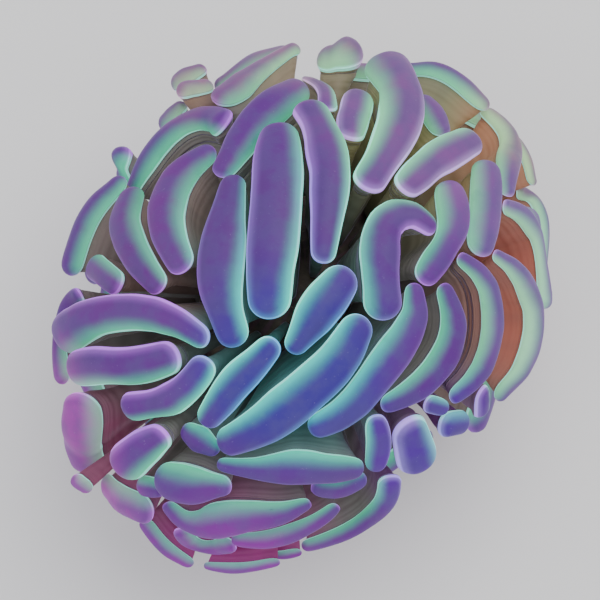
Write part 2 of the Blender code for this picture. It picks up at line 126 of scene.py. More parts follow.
@dataclass(frozen=True)
class HeadPlan:
    """One head as it was placed on the grid.

    Attributes:
        line: Points of the middle line on the grid, rightwards and downwards.
        widths: Widths along the line, in steps of the grid.
        web_side: Side of the picture on which the web shows.
        height: Height against the dome.
        sink: How far the head is pushed away from the eye, in millimetres.
    """

    line: tuple[Point, ...]
    widths: tuple[float, ...]
    web_side: Compass
    height: float
    sink: float = 0.0


@dataclass(frozen=True)
class HiddenRow:
    """A row of heads that the photograph doesn't show.

    Attributes:
        latitude: Height of the row over the hub, in degrees.
        start: Bearing of the first head, in degrees.
        end: Bearing of the last head, in degrees.
        count: Number of heads.
        height: Height against the dome.
        fused: Whether the heads belong to the flesh node.
    """

    latitude: float
    start: float
    end: float
    count: int
    height: float
    fused: bool


OWN_HEADS: tuple[HeadPlan, ...] = (
    HeadPlan(((285, 140), (280, 200), (268, 280), (268, 298)), (46, 56, 54, 42), Compass.RIGHT, 1.03),
    HeadPlan(((310, 125), (327, 150), (334, 190), (331, 225), (332, 260)), (36, 42, 42, 36, 34), Compass.RIGHT, 1.04),
    HeadPlan(((226, 185), (222, 230), (217, 270), (218, 300), (228, 330)), (38, 42, 48, 50, 42), Compass.RIGHT, 1.01),
    HeadPlan(((338, 285), (315, 312), (288, 338)), (50, 34), Compass.UP_LEFT, 1.03),
    HeadPlan(((265, 342), (235, 370), (210, 412)), (36,), Compass.UP_LEFT, 1.02),
    HeadPlan(((373, 300), (373, 250), (382, 222), (405, 214), (424, 230)), (42, 42, 36, 30), Compass.LEFT, 1.02),
    HeadPlan(((445, 195), (455, 225), (445, 250), (430, 280)), (34,), Compass.LEFT, 1.00),
    HeadPlan(((484, 170), (486, 200), (482, 245)), (32,), Compass.LEFT, 1.00),
    HeadPlan(((385, 75), (402, 105), (395, 140), (365, 185)), (45, 48, 44, 36), Compass.UP_LEFT, 1.03),
    HeadPlan(((405, 188), (435, 162), (465, 142)), (34, 38, 35), Compass.UP_LEFT, 1.01),
    HeadPlan(((420, 98), (435, 110), (447, 125)), (24,), Compass.UP_LEFT, 0.97),
    HeadPlan(((366, 97), (350, 110), (335, 128)), (34,), Compass.DOWN_RIGHT, 0.97),
    HeadPlan(((300, 92), (270, 112), (245, 145), (228, 170)), (34, 38, 39, 34), Compass.DOWN_RIGHT, 1.00),
    HeadPlan(((292, 52), (262, 72), (232, 95), (218, 103)), (38,), Compass.DOWN_RIGHT, 1.01),
    HeadPlan(((275, 44), (245, 56), (214, 76)), (26,), Compass.DOWN_RIGHT, 0.98, 10.0),
    HeadPlan(((180, 74), (198, 66)), (24,), Compass.DOWN_LEFT, 1.00, 9.0),
    HeadPlan(((190, 89), (208, 86)), (25,), Compass.DOWN, 1.00),
    HeadPlan(((225, 112), (195, 117), (170, 133), (152, 158), (138, 182)), (28, 29, 28, 25, 21), Compass.DOWN_RIGHT, 1.00),
    HeadPlan(((210, 158), (185, 172), (169, 200), (167, 230), (180, 262)), (26, 34, 38, 36, 29), Compass.RIGHT, 1.01),
    HeadPlan(((131, 198), (123, 220), (130, 245), (147, 272), (157, 283)), (25, 31, 34, 32, 25), Compass.RIGHT, 1.00),
    HeadPlan(((118, 186), (97, 205), (83, 232), (74, 262)), (23,), Compass.RIGHT, 1.00),
    HeadPlan(((92, 266), (112, 284)), (26,), Compass.UP_RIGHT, 0.98),
    HeadPlan(((80, 297), (63, 315), (58, 345), (62, 372)), (18,), Compass.RIGHT, 1.00),
    HeadPlan(((72, 335), (100, 316), (135, 311), (172, 318), (200, 340)), (44, 38, 32), Compass.DOWN, 1.02),
    HeadPlan(((82, 372), (110, 366), (140, 369), (172, 362)), (42, 36, 42), Compass.DOWN, 1.01),
    HeadPlan(((140, 414), (170, 407), (192, 385), (202, 366)), (31, 38, 38, 33), Compass.DOWN_RIGHT, 1.02),
    HeadPlan(((135, 462), (150, 448), (168, 436)), (42,), Compass.DOWN_RIGHT, 1.01),
    HeadPlan(((80, 405), (84, 440), (90, 465)), (44, 38, 44), Compass.RIGHT, 1.00),
    HeadPlan(((103, 478), (118, 496), (143, 510)), (28,), Compass.UP_RIGHT, 1.00),
    HeadPlan(((175, 480), (200, 478), (222, 470)), (44, 40, 28), Compass.UP, 1.01),
    HeadPlan(((190, 438), (215, 445)), (32,), Compass.UP, 0.98),
    HeadPlan(((228, 432), (265, 418), (300, 392), (335, 360), (352, 330)), (40, 46, 47, 43, 35), Compass.UP_LEFT, 1.04),
    HeadPlan(((408, 288), (412, 312), (392, 345), (370, 378), (345, 408), (318, 420)), (24, 33, 38, 36, 33, 27), Compass.UP_LEFT, 1.02),
    HeadPlan(((438, 290), (452, 320), (445, 352), (420, 385), (388, 403)), (21, 27, 30, 28, 22), Compass.LEFT, 1.01),
    HeadPlan(((460, 256), (483, 272), (492, 300), (492, 340), (478, 375), (455, 392)), (19, 22, 24, 22, 18), Compass.LEFT, 1.00),
    HeadPlan(((497, 257), (520, 272), (531, 305), (530, 345), (520, 375), (503, 388)), (15, 20, 22, 22, 17), Compass.LEFT, 1.00),
    HeadPlan(((508, 199), (524, 208), (536, 235), (541, 270), (545, 295)), (17,), Compass.LEFT, 1.00),
    HeadPlan(((525, 190), (543, 200), (551, 225), (550, 260)), (15,), Compass.LEFT, 1.00, 11.0),
    HeadPlan(((488, 114), (505, 128), (508, 160), (508, 190)), (20,), Compass.LEFT, 1.00),
    HeadPlan(((408, 73), (432, 69), (458, 82), (482, 105)), (20,), Compass.DOWN_LEFT, 1.00),
    HeadPlan(((319, 68), (329, 63)), (48,), Compass.DOWN, 1.02),
    HeadPlan(((302, 75), (318, 90), (322, 105)), (20,), Compass.UP_RIGHT, 0.98),
    HeadPlan(((222, 460), (255, 467), (290, 465), (325, 470), (350, 470)), (24, 31, 39, 33, 25), Compass.UP, 1.01),
    HeadPlan(((318, 492), (340, 492), (357, 480)), (22,), Compass.UP, 0.98),
    HeadPlan(((172, 505), (190, 524), (215, 518), (245, 512), (280, 512), (305, 500)), (15, 22, 40, 33, 26, 15), Compass.UP, 1.01),
    HeadPlan(((238, 540), (265, 541), (295, 532), (320, 520), (333, 508)), (15, 20, 20, 17, 13), Compass.UP, 1.00),
    HeadPlan(((390, 482), (387, 503), (365, 520), (335, 537), (308, 545)), (24, 18, 16), Compass.UP_LEFT, 1.00),
    HeadPlan(((408, 428), (414, 456)), (38, 44), Compass.RIGHT, 1.00),
    HeadPlan(((380, 420), (378, 440), (368, 462)), (25,), Compass.LEFT, 1.00),
    HeadPlan(((446, 423), (458, 423)), (26,), Compass.UP, 1.00),
    HeadPlan(((480, 393), (480, 407)), (20,), Compass.UP, 1.00),
    HeadPlan(((185, 535), (200, 548), (225, 545)), (18,), Compass.UP, 1.00),
)

SMALL_HEADS: tuple[HeadPlan, ...] = (
    HeadPlan(((145, 491), (156, 489)), (22,), Compass.UP, 0.98),
    HeadPlan(((429, 404), (443, 406)), (18,), Compass.UP, 1.00),
    HeadPlan(((258, 552), (278, 556), (298, 552)), (10,), Compass.UP, 1.00),
    HeadPlan(((205, 566), (240, 569), (275, 562)), (11,), Compass.UP, 1.00),
    HeadPlan(((520, 140), (531, 160), (534, 182)), (12,), Compass.LEFT, 1.00, 6.0),
    HeadPlan(((148, 525), (165, 548), (190, 563)), (15,), Compass.UP_RIGHT, 1.00),
    HeadPlan(((77, 480), (85, 486)), (18,), Compass.UP_RIGHT, 1.00),
    HeadPlan(((113, 153), (120, 167)), (24,), Compass.RIGHT, 0.98, 13.0),
    HeadPlan(((357, 60), (371, 62)), (24,), Compass.DOWN_LEFT, 0.96, 7.0),
    HeadPlan(((166, 108), (178, 94)), (20,), Compass.DOWN_RIGHT, 0.96, 6.0),
)

HIDDEN_ROWS: tuple[HiddenRow, ...] = (
    HiddenRow(-2.0, 22.0, 158.0, 5, 1.00, False),
    HiddenRow(-14.0, -22.0, 202.0, 8, 0.98, True),
    HiddenRow(-27.0, -88.0, 239.0, 11, 0.92, True),
)


@dataclass(frozen=True)
class Sight:
    """The eye of the photograph and the grid that it looks through."""

    hub: tuple[float, float, float] = (0.0, 0.0, 46.0)
    height: float = math.radians(70.0)
    distance: float = 400.0
    grid_step: float = 0.24
    grid_middle: Point = (305.0, 303.0)

    @property
    def right(self) -> np.ndarray:
        """Direction that is rightwards in the picture."""
        return np.array((1.0, 0.0, 0.0))

    @property
    def up(self) -> np.ndarray:
        """Direction that is upwards in the picture."""
        return np.array((0.0, math.sin(self.height), math.cos(self.height)))

    @property
    def towards(self) -> np.ndarray:
        """Direction from the coral to the eye."""
        return np.array((0.0, -math.cos(self.height), math.sin(self.height)))

    @property
    def eye(self) -> np.ndarray:
        """Place of the eye."""
        return np.array(self.hub) + self.distance * self.towards

    def line_through(self, grid_point: Sequence[float]) -> np.ndarray:
        """Gives the direction from the eye through a point of the grid."""
        across = (grid_point[0] - self.grid_middle[0]) * self.grid_step
        up = (self.grid_middle[1] - grid_point[1]) * self.grid_step
        return unit(np.array(self.hub) + across * self.right + up * self.up - self.eye)


@dataclass(frozen=True)
class Dome:
    """The turned ellipsoid that the heads lie on, and the flesh inside it."""

    sight: Sight = field(default_factory=Sight)
    half_axes: tuple[float, float, float] = (64.0, 50.0, 40.0)
    flesh_half_axes: tuple[float, float, float] = (30.0, 24.0, 18.0)
    turn: float = math.radians(52.0)

    def to_ball(self, half_axes: tuple[float, float, float]) -> np.ndarray:
        """Gives the matrix that makes an ellipsoid with these half axes into a ball of radius one."""
        cosine = math.cos(self.turn)
        sine = math.sin(self.turn)
        turned = np.array(((cosine, sine, 0.0), (-sine, cosine, 0.0), (0.0, 0.0, 1.0)))
        return np.diag([1.0 / half_axis for half_axis in half_axes]) @ turned

    @property
    def hub(self) -> np.ndarray:
        """Middle of the dome."""
        return np.array(self.sight.hub)

    def share(self, place: np.ndarray) -> float:
        """Tells how far out a place is, where one is on the dome."""
        return float(np.linalg.norm(self.to_ball(self.half_axes) @ (place - self.hub)))

    def seen(self, grid_point: Sequence[float]) -> np.ndarray:
        """Finds the place on the dome that shows at a point of the grid.

        Args:
            grid_point: Point of the grid, rightwards and downwards.

        Returns:
            The place on the dome, or the nearest one beside it on the same line of sight.
        """
        to_ball = self.to_ball(self.half_axes)
        sight = self.sight.line_through(grid_point)
        ball_sight = to_ball @ sight
        ball_eye = to_ball @ (self.sight.eye - self.hub)
        square = ball_sight @ ball_sight
        middle = ball_sight @ ball_eye
        room = middle * middle - square * (ball_eye @ ball_eye - 1.0)
        reach = (-middle - math.sqrt(max(room, 0.0))) / square
        return self.sight.eye + reach * sight

    def flesh_distance(self, out: np.ndarray) -> np.ndarray:
        """Gives the distance from the hub to the skin of the flesh in each direction."""
        above = out * np.where(out[:, 2:] >= 0.0, 1.0, (1.0, 1.0, 0.0))
        return 1.0 / np.linalg.norm(above @ self.to_ball(self.flesh_half_axes).T, axis=1)

    def plan_point(self, angle: float, share: float, height: float) -> np.ndarray:
        """Gives a point at a share of the flesh's turned plan and at a height."""
        long_part = share * self.flesh_half_axes[0] * math.cos(angle)
        short_part = share * self.flesh_half_axes[1] * math.sin(angle)
        cosine = math.cos(self.turn)
        sine = math.sin(self.turn)
        return np.array((long_part * cosine - short_part * sine, long_part * sine + short_part * cosine, height))


DOME = Dome()
SAMPLES = 9


@dataclass(frozen=True)
class Lean:
    """How heads lean about their length towards the light, which comes from the eye of the grid."""

    share_of_way: float = 0.55
    most: float = math.radians(38.0)

    def angle(self, out: np.ndarray, inner: np.ndarray) -> Number:
        """Gives the angle by which a head leans to its inner side, in radians."""
        to_light = np.arctan2(inner @ DOME.sight.towards, out @ DOME.sight.towards)
        return np.clip(self.share_of_way * to_light, 0.0, self.most)

    def turned(self, out: np.ndarray, inner: np.ndarray, share: Number) -> tuple[np.ndarray, np.ndarray]:
        """Turns the outward and inner directions of a head.

        Args:
            out: Outward direction or directions.
            inner: Inner direction or directions.
            share: Share of the lean.

        Returns:
            The direction of the crown and that of the inner side.
        """
        lean = share * self.angle(out, inner)
        crown = scaled(out, np.cos(lean)) + scaled(inner, np.sin(lean))
        return crown, scaled(inner, np.cos(lean)) - scaled(out, np.sin(lean))


LEAN = Lean()


@dataclass
class Head:
    """A head on the dome: its middle line, half widths, thickness against its width and which way it faces."""

    places: np.ndarray
    halves: np.ndarray
    flatness: float
    inner_hint: np.ndarray
    height: float
    freedom: float
    fused: bool
    turn: float = 1.0

    def sample(self, shares: np.ndarray) -> np.ndarray:
        """Gives the places at shares of the length."""
        ticks = np.linspace(0.0, 1.0, SAMPLES)
        return np.stack([np.interp(shares, ticks, self.places[:, axis]) for axis in range(3)], axis=1)

    def at(self, shares: np.ndarray) -> tuple[np.ndarray, np.ndarray, np.ndarray, np.ndarray, np.ndarray]:
        """Looks along the head.

        Args:
            shares: Shares of the length, from 0 to 1.

        Returns:
            The places, the outward, lengthwise and inner directions, and the half widths.
        """
        places = self.sample(shares)
        out = unit(places - DOME.hub)
        along = self.sample(np.minimum(shares + 0.08, 1.0)) - self.sample(np.maximum(shares - 0.08, 0.0))
        along = unit(along - scaled(out, (along * out).sum(axis=1)))
        inner = np.cross(out, along) * self.turn
        return places, out, along, inner, np.interp(shares, np.linspace(0.0, 1.0, SAMPLES), self.halves)

    def length(self) -> float:
        """Gives the length of the middle line."""
        return float(np.linalg.norm(np.diff(self.places, axis=0), axis=1).sum())


def even_samples(line: np.ndarray, count: int) -> np.ndarray:
    """Gives points at even steps along a line.

    Args:
        line: Points of the line.
        count: How many points to give.

    Returns:
        The points, with the line's two ends.
    """
    steps = np.linalg.norm(np.diff(line, axis=0), axis=1)
    along = np.concatenate(([0.0], np.cumsum(steps)))
    wanted = np.linspace(0.0, along[-1], count)
    return np.stack([np.interp(wanted, along, line[:, axis]) for axis in range(line.shape[1])], axis=1)


@dataclass
class Crowd:
    """All heads together: lays them on the dome and settles them beside each other."""

    seed: int = 11
    long_flatness: float = 0.70
    short_flatness: float = 0.92
    short_below: float = 4.0
    widest_half: float = 5.6
    gap: float = 0.4
    widening: float = 1.12
    rounds: int = 160
    rate: float = 0.6
    anchor_rate: float = 0.10
    most_twist: float = 0.03
    bending: float = 0.3
    bending_length: float = 14.0
    smoothing_passes: int = 4
    row_head_length: float = 17.0
    row_head_width: float = 9.0
    row_tilt: float = math.radians(14.0)
    row_bow: float = 2.0
    row_freedom: float = 6.0
    heads: list[Head] = field(default_factory=list)

    def round_off(self, points: Sequence[np.ndarray]) -> np.ndarray:
        """Cuts the corners of a line twice and keeps its two ends."""
        line = list(points)
        for _ in range(2):
            cut = [line[0]]
            for start, end in zip(line[:-1], line[1:]):
                cut.append(0.75 * start + 0.25 * end)
                cut.append(0.25 * start + 0.75 * end)
            cut.append(line[-1])
            line = cut
        return np.array(line)

    def flatness_of(self, places: np.ndarray, half: float) -> float:
        """Gives the thickness of a head as a share of its width: a short head is almost a ball."""
        length = np.linalg.norm(np.diff(places, axis=0), axis=1).sum()
        return float(mix(self.short_flatness, self.long_flatness, min(length / (self.short_below * half), 1.0)))

    def half_width_at(
        self, place: np.ndarray, along: np.ndarray, hint: np.ndarray, flatness: float, grid_width: float
    ) -> float:
        """Turns a width on the grid into the half width of a flattened head.

        Args:
            place: Place on the dome.
            along: Direction in which the head lies.
            hint: Roughly the direction of its inner side.
            flatness: Thickness of the head as a share of its width.
            grid_width: Width in steps of the grid.

        Returns:
            The half width in millimetres.
        """
        sight = DOME.sight
        to_eye = sight.eye - place
        seen_half = 0.5 * grid_width * sight.grid_step * (to_eye @ sight.towards) / sight.distance
        out = unit(place - DOME.hub)
        along = unit(along - (along @ out) * out)
        inner = np.cross(out, along)
        crown, side = LEAN.turned(out, inner * math.copysign(1.0, inner @ hint), 1.0)
        across = unit(np.cross(along, to_eye))
        return min(seen_half / math.hypot(side @ across, flatness * (crown @ across)), self.widest_half)

    def lay(self, plan: HeadPlan, fused: bool) -> Head:
        """Lays a head that was placed on the grid onto the dome.

        Args:
            plan: The head on the grid.
            fused: Whether it belongs to the flesh node.

        Returns:
            The head on the dome.
        """
        line = even_samples(self.round_off([np.array(point, float) for point in plan.line]), SAMPLES)
        places = np.array([DOME.seen(point) for point in line]) - plan.sink * DOME.sight.towards
        widths = plan.widths if len(plan.widths) > 1 else plan.widths * 2
        wanted = np.interp(np.linspace(0.0, 1.0, SAMPLES), np.linspace(0.0, 1.0, len(widths)), widths)
        across, up = plan.web_side.value
        hint = across * DOME.sight.right + up * DOME.sight.up + DOME.sight.towards
        flatness = self.flatness_of(places, 0.5 * max(widths) * DOME.sight.grid_step)
        halves = []
        for spot, direction, width in zip(places, np.gradient(places, axis=0), wanted):
            halves.append(self.half_width_at(spot, direction, hint, flatness, width))
        return Head(places, np.array(halves), flatness, hint, plan.height, 1.0, fused)

    def lay_rows(self) -> list[Head]:
        """Lays the heads of the hidden rows onto the dome."""
        chance = random.Random(self.seed)
        to_ball = DOME.to_ball(DOME.half_axes)
        heads = []
        for row in HIDDEN_ROWS:
            for index in range(row.count):
                bearing = math.radians(row.start + (row.end - row.start) * index / (row.count - 1))
                lift = math.radians(row.latitude + chance.uniform(-2.0, 2.0))
                flat = math.cos(lift)
                out = np.array((flat * math.cos(bearing), flat * math.sin(bearing), math.sin(lift)))
                middle = DOME.hub + out / np.linalg.norm(to_ball @ out)
                level = unit(np.cross((0.0, 0.0, 1.0), out))
                rise = np.cross(out, level)
                tilt = chance.uniform(-self.row_tilt, self.row_tilt)
                along = math.cos(tilt) * level + math.sin(tilt) * rise
                length = self.row_head_length * chance.uniform(0.85, 1.1)
                bow = chance.uniform(-self.row_bow, self.row_bow)
                shares = np.linspace(-1.0, 1.0, SAMPLES)
                line = [middle + 0.5 * length * share * along + bow * share * share * rise for share in shares]
                width = self.row_head_width * chance.uniform(0.9, 1.05)
                halves = np.full(SAMPLES, 0.5 * width)
                places = np.array(line)
                heads.append(Head(places, halves, self.long_flatness, rise, row.height, self.row_freedom, row.fused))
        return heads

    def settle(self) -> None:
        """Moves the heads apart on the dome until there is a gap between them, then narrows what still touches."""
        heads = self.heads
        to_ball = DOME.to_ball(DOME.half_axes)
        reaches = np.array([[DOME.share(place) for place in head.places] for head in heads])
        spots = (np.array([head.places for head in heads]) - DOME.hub) / reaches[:, :, None]
        halves = np.array([head.halves for head in heads])
        owner = np.repeat(np.arange(len(heads)), SAMPLES)
        strangers = owner[:, None] != owner[None, :]
        radii = halves.reshape(-1)
        needed = radii[:, None] + radii[None, :] + self.gap
        first_lengths = np.linalg.norm(np.diff(spots, axis=1), axis=2).sum(axis=1)
        freedom = np.repeat([head.freedom for head in heads], SAMPLES)
        yielding = 2.0 * freedom[:, None] / (freedom[:, None] + freedom[None, :])
        first_spots = spots.copy()
        pull = self.anchor_rate * np.array([head.freedom == 1.0 for head in heads])[:, None, None]
        pliant = np.where(first_lengths > self.bending_length, self.bending, 0.0)
        for _ in range(self.rounds):
            flat = spots.reshape(-1, 3)
            apart = flat[:, None, :] - flat[None, :, :]
            distance = np.linalg.norm(apart, axis=2) + 1e-9
            lack = np.where(strangers, np.maximum(needed - distance, 0.0), 0.0)
            pushes = (apart / distance[:, :, None] * (lack * yielding)[:, :, None]).sum(axis=1)
            counts = np.maximum((lack > 0.0).sum(axis=1), 1)
            moves = (self.rate * pushes / counts[:, None]).reshape(spots.shape)
            middles = spots.mean(axis=1, keepdims=True)
            arms = spots - middles
            axes = middles / np.linalg.norm(middles, axis=2, keepdims=True)
            twists = (np.cross(arms, moves) * axes).sum(axis=(1, 2)) / (arms * arms).sum(axis=(1, 2))
            twists = np.clip(twists, -self.most_twist, self.most_twist)
            shift = moves.mean(axis=1, keepdims=True)
            homing = pull * (first_spots - spots)
            turned = np.cross(axes, arms) * twists[:, None, None]
            bend = moves - shift - turned
            for _ in range(self.smoothing_passes):
                beside = np.concatenate((bend[:, :1], bend, bend[:, -1:]), axis=1)
                bend = 0.5 * bend + 0.25 * (beside[:, :-2] + beside[:, 2:])
            bend = bend * pliant[:, None, None]
            spots = np.array([even_samples(line, SAMPLES) for line in spots + shift + homing + turned + bend])
            middles = spots.mean(axis=1, keepdims=True)
            lengths = np.linalg.norm(np.diff(spots, axis=1), axis=2).sum(axis=1)
            spots = middles + (spots - middles) * (first_lengths / lengths)[:, None, None]
            spots = spots / np.linalg.norm(spots @ to_ball.T, axis=2)[:, :, None]
        flat = spots.reshape(-1, 3)
        distance = np.linalg.norm(flat[:, None, :] - flat[None, :, :], axis=2)
        share = radii[:, None] / (radii[:, None] + radii[None, :])
        allowed = np.where(strangers, (distance - self.gap) * share, np.inf).min(axis=1)
        kept = np.minimum(allowed / radii, 1.0).reshape(halves.shape)
        for place in range(1, SAMPLES):
            kept[:, place] = np.minimum(kept[:, place], kept[:, place - 1] * self.widening)
        for place in range(SAMPLES - 2, -1, -1):
            kept[:, place] = np.minimum(kept[:, place], kept[:, place + 1] * self.widening)
        settled = halves * kept
        for index, head in enumerate(heads):
            head.places = DOME.hub + spots[index] * reaches[index][:, None] * head.height
            head.halves = settled[index] * reaches[index] * head.height
            middle = head.places[SAMPLES // 2] - DOME.hub
            along = head.places[SAMPLES // 2 + 1] - head.places[SAMPLES // 2 - 1]
            head.turn = 1.0 if np.cross(middle, along) @ head.inner_hint > 0.0 else -1.0

    def gather(self) -> list[Head]:
        """Lays and settles every head.

        Returns:
            The heads, those with a node of their own in the order of their numbers.
        """
        self.heads = [self.lay(plan, False) for plan in OWN_HEADS]
        self.heads += [self.lay(plan, True) for plan in SMALL_HEADS]
        self.heads += self.lay_rows()
        self.settle()
        return self.heads


class Wire:
    """A socket of a shader that can be reckoned with like a number."""

    def __init__(self, bench: "Bench", socket: bpy.types.NodeSocket) -> None:
        """Keeps the socket and the bench that its nodes stand on."""
        self.bench = bench
        self.socket = socket

    def _math(self, operation: str, *values: Any) -> "Wire":
        """Adds a Math node.

        Args:
            operation: Name of the operation.
            *values: Numbers or wires, in the order of the node's sockets.

        Returns:
            The node's result.
        """
        return self.bench.node("ShaderNodeMath", {"operation": operation}, dict(enumerate(values)))

    def __add__(self, other: Any) -> "Wire":
        """Adds."""
        return self._math("ADD", self, other)

    def __radd__(self, other: Any) -> "Wire":
        """Adds to a number."""
        return self._math("ADD", other, self)

    def __sub__(self, other: Any) -> "Wire":
        """Subtracts."""
        return self._math("SUBTRACT", self, other)

    def __rsub__(self, other: Any) -> "Wire":
        """Subtracts from a number."""
        return self._math("SUBTRACT", other, self)

    def __mul__(self, other: Any) -> "Wire":
        """Multiplies."""
        return self._math("MULTIPLY", self, other)

    def __rmul__(self, other: Any) -> "Wire":
        """Multiplies a number."""
        return self._math("MULTIPLY", other, self)

    def rise(self, low: float, high: float) -> "Wire":
        """Rises smoothly from 0 at low to 1 at high, or falls where high is the smaller.

        Args:
            low: Value that gives 0.
            high: Value that gives 1.

        Returns:
            The height of the rise.
        """
        settings = {"interpolation_type": "SMOOTHSTEP", "clamp": True}
        ends = (low, high, 0.0, 1.0) if low < high else (high, low, 1.0, 0.0)
        names = ("From Min", "From Max", "To Min", "To Max")
        return self.bench.node("ShaderNodeMapRange", settings, {"Value": self, **dict(zip(names, ends))})


class Bench:
    """The node tree of one material, with a method for each kind of work."""

    def __init__(self, name: str) -> None:
        """Makes a new material with a bare Principled shader."""
        self.material = bpy.data.materials.new(name)
        self.material.use_nodes = True
        self.tree = self.material.node_tree
        self.shader = self.tree.nodes["Principled BSDF"]
        self.place = self.node("ShaderNodeTexCoord", {}, {}, "Object")

    def node(self, kind: str, settings: dict[str, Any], inputs: dict[Any, Any], output: Any = None) -> Wire:
        """Adds one node.

        Args:
            kind: Type of the node.
            settings: Properties of the node, set before its sockets.
            inputs: Values or wires of its sockets, by name or number.
            output: Name or number of the socket to give. The first that is in use if left out.

        Returns:
            The output as a wire.
        """
        node = self.tree.nodes.new(kind)
        for key, value in settings.items():
            setattr(node, key, value)
        for key, value in inputs.items():
            if isinstance(value, Wire):
                self.tree.links.new(value.socket, node.inputs[key])
            else:
                node.inputs[key].default_value = value
        if output is None:
            return Wire(self, next(socket for socket in node.outputs if socket.enabled))
        return Wire(self, node.outputs[output])

    def attribute(self, name: str) -> Wire:
        """Reads a number that the mesh carries at its points."""
        return self.node("ShaderNodeAttribute", {"attribute_type": "GEOMETRY", "attribute_name": name}, {}, "Fac")

    def blend(self, share: Any, first: Any, second: Any, way: str = "MIX") -> Wire:
        """Mixes two colours.

        Args:
            share: Share of the second colour.
            first: A colour or a wire.
            second: A colour or a wire.
            way: How the second colour is laid on.

        Returns:
            The mixed colour.
        """
        values = [value if isinstance(value, Wire) else (*value, 1.0) for value in (first, second)]
        settings = {"data_type": "RGBA", "blend_type": way}
        return self.node("ShaderNodeMix", settings, {0: share, 6: values[0], 7: values[1]}, 2)

    def cloud(self, scale: float, detail: float = 3.0, where: Wire | None = None) -> Wire:
        """Adds a noise.

        Args:
            scale: Clouds in a metre, or in a unit of the given vector.
            detail: How many finer layers it has.
            where: Vector to read instead of the Object coordinates.

        Returns:
            The noise, from 0 to 1.
        """
        inputs = {"Vector": where or self.place, "Scale": scale, "Detail": detail, "Roughness": 0.55}
        return self.node("ShaderNodeTexNoise", {"noise_dimensions": "3D"}, inputs, "Fac")

    def distance_to(self, place: np.ndarray) -> Wire:
        """Measures the distance to a place, in millimetres."""
        target = tuple(float(value) * METRES_PER_MM for value in place)
        metres = self.node("ShaderNodeVectorMath", {"operation": "DISTANCE"}, {0: self.place, 1: target}, "Value")
        return metres * (1.0 / METRES_PER_MM)

    def bump(self, height: Wire, strength: float, distance: float) -> Wire:
        """Turns a height into a normal.

        Args:
            height: The height, from 0 to 1.
            strength: Share of the bump that shows.
            distance: Depth in metres.

        Returns:
            The bent normal.
        """
        inputs = {"Height": height, "Strength": strength, "Distance": distance}
        return self.node("ShaderNodeBump", {}, inputs, "Normal")

    def finish(self, links: dict[str, Wire], constants: dict[str, Any]) -> bpy.types.Material:
        """Connects the shader.

        Args:
            links: Wires of the sockets that change over the surface.
            constants: Values of the other sockets.

        Returns:
            The material.
        """
        for name, wire in links.items():
            self.tree.links.new(wire.socket, self.shader.inputs[name])
        for name, value in constants.items():
            self.shader.inputs[name].default_value = value
        return self.material


@dataclass(frozen=True)
class Tinge:
    """Colours of the tentacles round one place of the picture.

    Attributes:
        grid_point: Place of the picture.
        near: Distance in millimetres within which the colours are full.
        far: Distance in millimetres at which they end.
        body: Colour of the heads.
        glow: Colour of the soft glow on the inner side.
        web: Colour of the web, lifted above its own tone as painted light against the shade between the heads.
        rim: Colour of the thin bright line and of the lightened edges of the heads, both painted highlights.
        reach: How much further the glow reaches over the crest.
    """

    grid_point: Point
    near: float
    far: float
    body: Colour
    glow: Colour
    web: Colour
    rim: Colour
    reach: float = 0.0


BASE_TINGE = Tinge((300, 300), 0, 1, srgb(96, 38, 132), srgb(46, 200, 140), srgb(100, 98, 94), srgb(196, 112, 244))
# The paler, yellower tinges at the top and upper right are partly the colony's own colour and partly painted light
# where the light falls on that side.
TINGES: tuple[Tinge, ...] = (
    Tinge((150, 230), 10, 38, srgb(106, 44, 130), srgb(66, 194, 138), srgb(112, 92, 86), srgb(196, 112, 240)),
    Tinge((280, 230), 10, 30, srgb(94, 46, 128), srgb(44, 216, 162), srgb(84, 116, 108), srgb(176, 128, 248), -0.20),
    Tinge((292, 362), 10, 32, srgb(60, 46, 148), srgb(36, 208, 184), srgb(76, 126, 124), srgb(104, 190, 250)),
    Tinge((430, 120), 14, 40, srgb(128, 74, 144), srgb(108, 208, 150), srgb(128, 126, 88), srgb(212, 176, 244), 0.08),
    Tinge((545, 290), 12, 44, srgb(124, 92, 156), srgb(146, 214, 168), srgb(150, 84, 70), srgb(222, 176, 246), 0.26),
    Tinge((525, 130), 8, 24, srgb(152, 122, 136), srgb(160, 206, 150), srgb(156, 108, 80), srgb(232, 198, 226), 0.24),
    Tinge((300, 40), 8, 30, srgb(146, 100, 138), srgb(136, 206, 150), srgb(132, 118, 96), srgb(222, 186, 222), 0.05),
    Tinge((180, 70), 6, 20, srgb(146, 96, 134), srgb(150, 176, 136), srgb(124, 98, 82), srgb(224, 170, 212), 0.05),
    Tinge((70, 450), 12, 32, srgb(168, 62, 168), srgb(140, 186, 160), srgb(124, 66, 92), srgb(242, 140, 248)),
    Tinge((230, 560), 10, 34, srgb(134, 34, 150), srgb(96, 172, 150), srgb(134, 46, 106), srgb(214, 130, 248), 0.08),
    Tinge((430, 450), 8, 24, srgb(78, 20, 152), srgb(84, 184, 184), srgb(92, 50, 100), srgb(176, 170, 250)),
)


